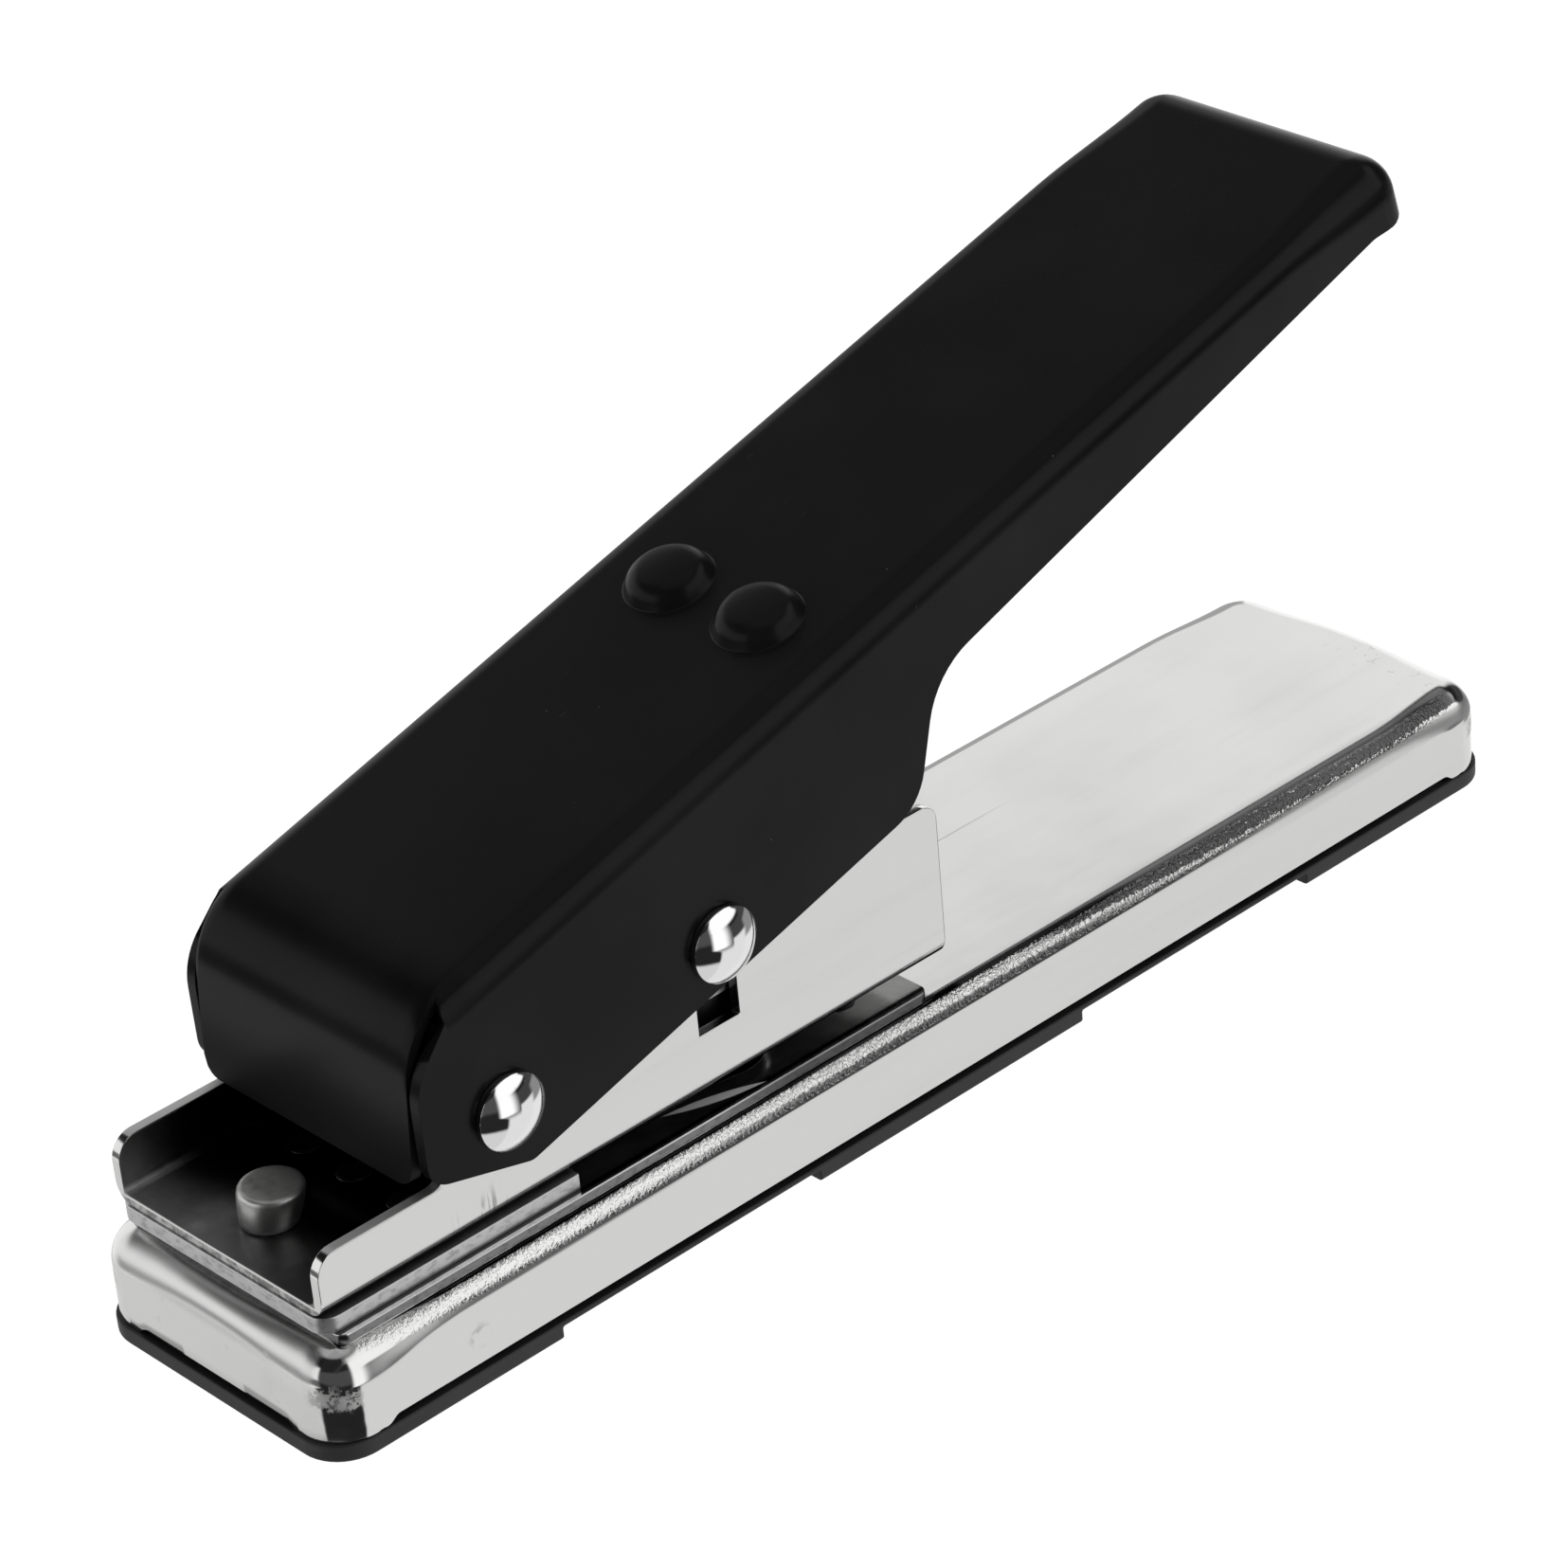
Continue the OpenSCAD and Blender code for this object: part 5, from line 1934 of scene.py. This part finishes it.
@dataclass
class Fasteners:
    """Stud, rivets and posts of the frame, and the pins, washers and sleeve of the lever."""

    stud: Point2 = (-74.2, 0.0)
    stud_r: float = 3.05
    stud_shank_r: float = 2.3
    stud_flare: float = 0.34
    stud_h: float = 3.9
    stud_lean: Point2 = (0.7, -0.1)
    floor: float = 16.0
    backing_low: float = 9.5
    tail: float = 0.8
    rivet_x: float = -63.7
    rivet_pitch: float = 7.6
    rivet_r: float = 1.6
    rivet_head: float = 1.7
    rivet_crown: tuple[Point2, ...] = (
        (1.15, 0.0),
        (1.1, 0.05),
        (0.9, 0.09),
        (0.7, 0.06),
        (0.5, 0.03),
        (0.0, 0.02),
    )
    die_top: float = 13.0
    shell_under: float = 11.0
    post_x: float = -8.4
    post_y: float = 6.4
    post_shank_r: float = 1.5
    post_nose: tuple[Point2, ...] = ((1.9, 0.0), (1.9, 2.6), (1.7, 3.15), (1.2, 3.5), (0.0, 3.5))
    seat_top: float = 17.6
    channel_low: float = 14.8
    pins: tuple[tuple[str, Point2], ...] = (("pivot", (-57.5, 27.55)), ("drive", (-29.4339, 32.3775)))
    half_w: float = 17.4
    head_r: float = 4.05
    head_rim: float = 0.8
    head_h: float = 2.3
    clench_r: float = 3.7
    clench_rim: float = 0.2
    clench_h: float = 1.2
    shank_r: float = 2.3
    bore_fit: float = 0.06
    washer_r: float = 4.5
    washer_t: float = 0.6
    sleeve_r: float = 3.76
    sleeve_half: float = 14.55
    sleeve_edge: float = 0.2
    sleeve_sides: int = 48
    row_sides: int = 40
    row_soft: float = 0.06
    stud_soft: float = 0.05
    pin_soft: float = 0.05
    washer_soft: float = 0.04
    sleeve_soft: float = 0.06

    def build(self) -> None:
        """Builds, dresses and seats every fastener."""
        rows = row_tree()
        steel = TurnedSteel("rivet_steel", (self.rivet_x, 0.0), tint=0.2, gloss=0.16).material()
        self.build_stud()
        self.build_rivets(rows, steel)
        self.build_pins()

    def build_stud(self) -> None:
        """Round stud, leaning a little, with a chamfered top."""
        r, z, t = self.stud_r, self.floor, self.stud_h
        wide = r + self.stud_flare
        foot = self.backing_low - self.tail
        profile = [
            (0.0, foot),
            (r - 0.2, foot),
            (r, foot + 0.2),
            (r, self.backing_low),
            (self.stud_shank_r, self.backing_low),
            (self.stud_shank_r, z),
            (r - 0.35, z + 0.01),
            (r - 0.08, z + 0.25),
            (r + 0.06, z + 0.9),
            (wide - 0.08, z + t * 0.55),
            (wide, z + t - 0.6),
            (wide - 0.04, z + t - 0.32),
            (wide - 0.14, z + t - 0.13),
            (wide - 0.32, z + t - 0.03),
            (wide - 0.6, z + t),
            (r * 0.5, z + t - 0.02),
            (0.0, z + t),
        ]
        bm = turned_mesh(profile, Axis.UP, (*self.stud, 0.0))
        for v in bm.verts:
            share = max(v.co.z / MM - z, 0.0) / t
            v.co.x += self.stud_lean[0] * share * MM
            v.co.y += self.stud_lean[1] * share * MM
        piece = piece_from(bm, "stud_turned")
        soften(piece, self.stud_soft, 40)
        paint(piece, TurnedSteel("stud_steel", self.stud, tint=0.62, gloss=0.28).material())
        seat(piece, Body.FRAME, Slot.STEEL, "front_stud")

    def row(
        self,
        tree: TreeSheet,
        profile: list[Point2],
        name: str,
        count: int,
        start: Point3,
        step: Point3,
        material: bpy.types.Material,
    ) -> bpy.types.Object:
        """Row of turned parts.

        Args:
            tree: Tree that sets the row.
            profile: Half outline of one part, with its own height.
            name: Name of the piece.
            count: Number of parts.
            start: Place of the first.
            step: Step to the next.
            material: Finish.

        Returns:
            The row as one piece.
        """
        solid = turned_mesh(profile, Axis.UP, (0.0, 0.0, 0.0), self.row_sides)
        part = piece_from(solid, name + "_pattern")
        sizes = {
            "Part": part,
            "Count": count,
            "Start": tuple(x * MM for x in start),
            "Step": tuple(x * MM for x in step),
            "Finish": material,
        }
        piece = tree.bake(name, sizes)
        bpy.data.objects.remove(part)
        soften(piece, self.row_soft, 40)
        return piece

    def rivet_foot(self, top: float) -> list[Point2]:
        """Half outline of a rivet's lower head and the start of its shank.

        Args:
            top: Height of the face that the head bears on.

        Returns:
            Radius and height pairs, from the foot up.
        """
        r, wide, low = self.rivet_r, self.rivet_r * self.rivet_head, top - self.tail
        return [(0.0, low), (wide - r * 0.1, low), (wide, low + 0.15), (wide, top), (r, top)]

    def build_rivets(self, tree: TreeSheet, steel: bpy.types.Material) -> None:
        """Rows of rivets through the stack and the die, and the posts of the springs.

        Args:
            tree: Tree that sets a row.
            steel: Finish.
        """
        r, pitch = self.rivet_r, self.rivet_pitch
        stack = self.rivet_foot(self.backing_low) + [(r, self.floor)]
        stack += [(r * wide, self.floor + rise) for wide, rise in self.rivet_crown]
        piece = self.row(tree, stack, "stack_rivet_row", 3, (self.rivet_x, -pitch, 0), (0, pitch, 0), steel)
        seat(piece, Body.FRAME, Slot.STEEL, "stack_rivets")
        die = self.rivet_foot(self.shell_under)
        die += [(r, self.die_top - 0.1), (r - 0.1, self.die_top), (0.0, self.die_top)]
        low_corner, high_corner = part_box("die_rivets")
        x = (low_corner.x + high_corner.x) / 2 / MM
        y = high_corner.y / MM - r * self.rivet_head
        piece = self.row(tree, die, "die_rivet_row", 2, (x, -y, 0), (0, 2 * y, 0), steel)
        seat(piece, Body.FRAME, Slot.STEEL, "die_rivets")
        low, shank = self.channel_low, self.post_shank_r
        post = [(0.0, low), (shank, low), (shank, self.seat_top)]
        post += [(wide, self.seat_top + rise) for wide, rise in self.post_nose]
        start = (self.post_x, -self.post_y, 0)
        piece = self.row(tree, post, "spring_post_row", 2, start, (0, 2 * self.post_y, 0), steel)
        seat(piece, Body.FRAME, Slot.STEEL, "spring_posts")

    def pin_profile(self) -> list[Point2]:
        """Half outline of a pin.

        Returns:
            Radius and place across, from the near head to the clenched end.
        """
        tail_y = self.half_w + self.washer_t
        head = dome_profile(self.head_r, self.head_rim, self.head_h - self.head_rim)
        clench = dome_profile(self.clench_r, self.clench_rim, self.clench_h - self.clench_rim)
        line = [(r, -self.half_w - h) for r, h in reversed(head)]
        line += [(self.shank_r, -self.half_w), (self.shank_r, tail_y)]
        return line + [(r, tail_y + h) for r, h in clench]

    def build_pins(self) -> None:
        """Domed pins, their washers on the far side and the sleeve on the pivot."""
        chrome = ChromeHead().material()
        washer_finish = ChromeHead("washer_plate", tint=0.72, gloss=0.16).material()
        rim, hole = self.washer_r, self.shank_r + self.bore_fit
        a, b = self.half_w, self.half_w + self.washer_t
        ring = [(hole, a), (rim - 0.1, a), (rim, a + 0.12), (rim, b - 0.14), (rim - 0.14, b)]
        ring += [(hole, b), (hole, a)]
        for name, (x, z) in self.pins:
            spot = (x, 0.0, z)
            piece = piece_from(turned_mesh(self.pin_profile(), Axis.ACROSS, spot), name + "_pin_domed")
            soften(piece, self.pin_soft, 50)
            paint(piece, chrome)
            seat(piece, Body.HANDLE, Slot.CHROME, name + "_pin")
            piece = piece_from(turned_mesh(ring, Axis.ACROSS, spot), name + "_washer_flat")
            soften(piece, self.washer_soft, 50)
            paint(piece, washer_finish)
            seat(piece, Body.HANDLE, Slot.CHROME, name + "_washer")
        self.build_sleeve()

    def build_sleeve(self) -> None:
        """Spacer tube on the pivot pin, between the channel's walls."""
        x, z = self.pins[0][1]
        bore, out, half = self.shank_r + self.bore_fit, self.sleeve_r, self.sleeve_half
        edge = self.sleeve_edge
        ring = [(bore, -half), (out - edge, -half), (out, -half + edge), (out, half - edge)]
        ring += [(out - edge, half), (bore, half), (bore, -half)]
        solid = turned_mesh(ring, Axis.ACROSS, (x, 0.0, z), self.sleeve_sides)
        piece = piece_from(solid, "pivot_sleeve_tube")
        soften(piece, self.sleeve_soft, 40)
        paint(piece, GroundSteel("sleeve_steel", tint=0.46).material())
        seat(piece, Body.FRAME, Slot.STEEL, "pivot_sleeve")


@dataclass
class Punch:
    """Carrier, punch and screws that the drive pin moves."""

    screw_x: float = -29.2278
    carrier_edge: float = 0.3
    punch_edge: float = 0.08
    screw_edge: float = 0.12

    def build(self) -> None:
        """Builds, dresses and seats the three pieces."""
        block = GroundSteel("carrier_steel", tint=0.5).material()
        hard = GroundSteel("punch_steel", tint=0.42).material()
        dark = TurnedSteel("screw_steel", (self.screw_x, 0.0), tint=0.2, gloss=0.34).material()
        parts = (
            ("punch_carrier", "carrier_block", self.carrier_edge, block, Slot.STEEL),
            ("pick_punch", "punch_pick_shape", self.punch_edge, hard, Slot.TOOL),
            ("punch_screws", "punch_screw_pair", self.screw_edge, dark, Slot.TOOL),
        )
        for node, name, edge, material, slot in parts:
            dress_node(node, name, edge, material, Body.PUNCH, slot)


@dataclass
class Springs:
    """Two return springs on their seat."""

    foot: Point2 = (-8.4, 17.6)
    head: Point2 = (-11.5583, 56.923)
    pressed_head: Point2 = (-5.24, 43.12)
    side: float = 6.4
    coil_r: float = 2.95
    wire_r: float = 0.45
    turns: float = 11.0
    steps_per_turn: int = 26
    end_gap: float = 0.75
    seat_edge: float = 0.15
    finish: SpringWire = field(default_factory=SpringWire)

    def reach(self) -> Vector:
        """Way from the foot of a spring to its head at rest."""
        return Vector((self.head[0] - self.foot[0], 0, self.head[1] - self.foot[1]))

    def build(self) -> None:
        """Winds, dresses and seats both springs, and seats the plate under them."""
        tree = coil_tree()
        wire = self.finish.material()
        reach = self.reach()
        axis = reach.normalized()
        stop = self.wire_r + self.end_gap
        for name, y in (("near", -self.side), ("far", self.side)):
            foot = Vector((self.foot[0], y, self.foot[1])) + axis * stop
            sizes = {
                "Turns": self.turns,
                "Coil Radius": self.coil_r * MM,
                "Wire Radius": self.wire_r * MM,
                "Foot": tuple(foot * MM),
                "Reach": tuple(axis * (reach.length - 2 * stop) * MM),
                "Lean": (axis.z, 0.0, -axis.x),
                "Points": int(self.turns * self.steps_per_turn),
                "Finish": wire,
            }
            piece = tree.bake("spring_" + name, sizes)
            seat(piece, Body.FRAME, Slot.WIRE, "return_spring_" + name)
            self.flatten(piece)
        steel = GroundSteel("seat_steel", tint=0.5).material()
        dress_node("spring_seat", "spring_seat_plate", self.seat_edge, steel, Body.FRAME, Slot.STEEL)

    def flatten(self, piece: bpy.types.Object) -> None:
        """Gives a spring a mesh of its own.

        Args:
            piece: The spring.
        """
        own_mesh(piece)


@dataclass
class Tray:
    """Plastic catch tray with its foot edges."""

    edge: float = 0.18
    finish: CharcoalPlastic = field(default_factory=CharcoalPlastic)

    def build(self) -> None:
        """Builds, dresses and seats the tray."""
        plastic = self.finish.material()
        dress_node("bottom_tray", "tray_moulded", self.edge, plastic, Body.TRAY, Slot.PLASTIC)


@dataclass
class Way:
    """A direction that light comes from: towards the camera, to its right, and up."""

    toward: Val
    right: Val
    up: Val

    def overhead(self) -> Val:
        """1 right over the object, 0 elsewhere."""
        return self.up.step(0.86, 0.93)


@dataclass
class Studio:
    """Pale floor, soft light from all round with a dark side behind the camera, and the camera."""

    target: Point3 = (-13.2, 0.0, 20.0)
    azimuth: float = -40.1895
    elevation: float = 31.6256
    roll: float = -5.6446
    distance: float = 541.0614
    lens: float = 122.55
    sensor: float = 36.0
    shift: Point2 = (0.03398, 0.08743)
    floor_half: float = 6.0
    floor_drop: float = 0.2
    gloom: float = 0.012
    dim: float = 0.02
    window_glow: float = 1.14

    def build(self) -> None:
        """Builds the whole studio."""
        self.build_floor()
        self.build_light()
        self.build_camera()
        view = bpy.context.scene.view_settings
        view.view_transform = "Standard"
        view.look = "None"

    def build_floor(self) -> None:
        """Plain floor that glows a little, like a light table."""
        bm = bmesh.new()
        bmesh.ops.create_grid(bm, x_segments=8, y_segments=8, size=self.floor_half)
        floor = piece_from(bm, "floor")
        floor.location.z = -self.floor_drop * MM
        material, s, place = surface("floor_card")
        colour = s.mix(s.noise(place, 400, 2.0), grey(0.10), grey(0.11))
        white = full(grey(1.0))
        close_surface(s, Base_Color=colour, Roughness=0.9, Emission_Color=white, Emission_Strength=1.0)
        paint(floor, material)
        floor.visible_glossy = False

    def build_light(self) -> None:
        """World light: white below, a bright back up to head height, one window, and dark elsewhere."""
        world = bpy.data.worlds.new("studio_light")
        world.use_nodes = True
        bpy.context.scene.world = world
        s = NodeSheet(world.node_tree)
        arrow = s.make("ShaderNodeTexCoord", None, None, "Generated")
        x, y, z = (s.make("ShaderNodeSeparateXYZ", None, {"Vector": arrow}, axis) for axis in "XYZ")
        flat = (1.0 - z * z).math("MAXIMUM", 0.0001).math("SQRT")
        a = math.radians(self.azimuth)
        toward = (x * math.sin(a) - y * math.cos(a)) / flat
        side = (x * math.cos(a) + y * math.sin(a)) / flat
        way = Way(toward, side, z)
        rear = self.rear_light(way)
        turn = (toward + 0.45 * z.step(0.45, 0.65)).step(-0.30, -0.12)
        right = self.right_light(way).blend(self.near_light(way), turn)
        right = rear.blend(right, toward.step(-0.93, -0.82))
        level = rear.blend(right, side.step(-0.10, 0.15))
        shade = toward - 0.17 * z.step(-0.42, -0.28) + 0.10 * side.step(-0.1, -0.35)
        level = level.blend(self.camera_light(way), shade.step(0.64, 0.72))
        glow = s.make("ShaderNodeBackground", None, {"Color": full(grey(1.0)), "Strength": level})
        s.make("ShaderNodeOutputWorld", None, {"Surface": glow}, None)

    def rear_light(self, way: Way) -> Val:
        """Bright wall behind the object and on its left, with its gaps and a dim ceiling.

        Args:
            way: The direction.

        Returns:
            The level of light.
        """
        toward, side, up = way.toward, way.right, way.up
        left = side.step(-0.15, -0.45)
        ahead = toward.step(-0.80, -0.60)
        overhead = way.overhead()
        ceiling = up.step(0.60, 0.68) * (1.0 - left * ahead * (1.0 - overhead))
        wall = up.step(0.60, 0.535).blend(up.step(0.58, 0.50), ahead * left)
        panel = toward.step(-0.88, -0.97) * side.step(0.115, 0.135)
        panel = panel * up.step(0.42, 0.25) * up.step(-0.75, -0.5)
        level = self.gloom + 0.23 * ceiling + 0.20 * overhead + wall + 0.15 * panel
        gap = toward.step(-0.5, -0.2) * up.step(-0.36, -0.26) * up.step(0.04, -0.06)
        line = toward.step(-0.93, -0.97) * side.step(0.135, 0.115)
        line = line * up.step(0.44, 0.36) * up.step(-0.62, -0.5)
        level = level * (1.0 - 0.85 * gap) * (1.0 - 0.56 * line)
        level = level * (1.0 - 0.5 * left * up.step(-0.56, -0.66))
        return level * (1.0 - 0.25 * left * up.step(-0.36, -0.44))

    def near_light(self, way: Way) -> Val:
        """Window on the near right, over pale ground.

        Args:
            way: The direction.

        Returns:
            The level of light.
        """
        toward, up = way.toward, way.up
        sill = up.step(0.20, 0.28).blend(up.step(-0.36, -0.28), toward.step(0.28, 0.62))
        window = sill * up.step(0.86, 0.78)
        ground = up.step(-0.16, -0.24).blend(up.step(-0.28, -0.46), toward.step(0.27, 0.34))
        level = self.gloom + 0.78 * ground * (1.0 - sill) + self.window_glow * window
        return level + 0.045 * up.step(0.2, 0.1) + 0.43 * way.overhead()

    def right_light(self, way: Way) -> Val:
        """Dim wall on the right, over pale ground and under a dim ceiling.

        Args:
            way: The direction.

        Returns:
            The level of light.
        """
        up = way.up
        level = self.dim + 0.60 * up.step(-0.34, -0.42) + 0.22 * up.step(0.02, -0.06)
        level = level + 0.04 * up.step(0.5, 0.3)
        return level + 0.17 * up.step(0.62, 0.70) + 0.26 * way.overhead()

    def camera_light(self, way: Way) -> Val:
        """Dark side behind the camera, over pale ground.

        Args:
            way: The direction.

        Returns:
            The level of light.
        """
        up = way.up
        level = self.dim + 0.70 * up.step(-0.62, -0.72) + 0.35 * way.overhead()
        return level + 0.06 * up.step(0.45, 0.35) * up.step(-0.15, 0.0)

    def build_camera(self) -> None:
        """Camera at the photograph's place."""
        a, e, r = (math.radians(v) for v in (self.azimuth, self.elevation, self.roll))
        back = Vector((math.sin(a) * math.cos(e), -math.cos(a) * math.cos(e), math.sin(e)))
        right = Vector((math.cos(a), math.sin(a), 0.0))
        up = back.cross(right)
        right, up = (
            right * math.cos(r) + up * math.sin(r),
            up * math.cos(r) - right * math.sin(r),
        )
        data = bpy.data.cameras.new("camera")
        data.sensor_width = self.sensor
        data.lens = self.lens
        data.shift_x, data.shift_y = self.shift
        data.clip_start = 0.01
        camera = bpy.data.objects.new("camera", data)
        spot = Vector(self.target) * MM + back * self.distance * MM
        turn = Matrix((right, up, back)).transposed()
        camera.matrix_world = Matrix.Translation(spot) @ turn.to_4x4()
        bpy.context.scene.collection.objects.link(camera)
        bpy.context.scene.camera = camera


def main() -> None:
    """Builds every sub-assembly."""
    logging.basicConfig(level=logging.INFO, format="%(name)s: %(message)s")
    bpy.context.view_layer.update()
    Studio().build()
    for assembly in (Tray(), BaseShell(), Channel(), Fasteners(), Punch(), Springs(), Handle()):
        assembly.build()
        LOG.info("%s done", type(assembly).__name__)
    bpy.context.view_layer.update()


if __name__ == "__main__":
    main()
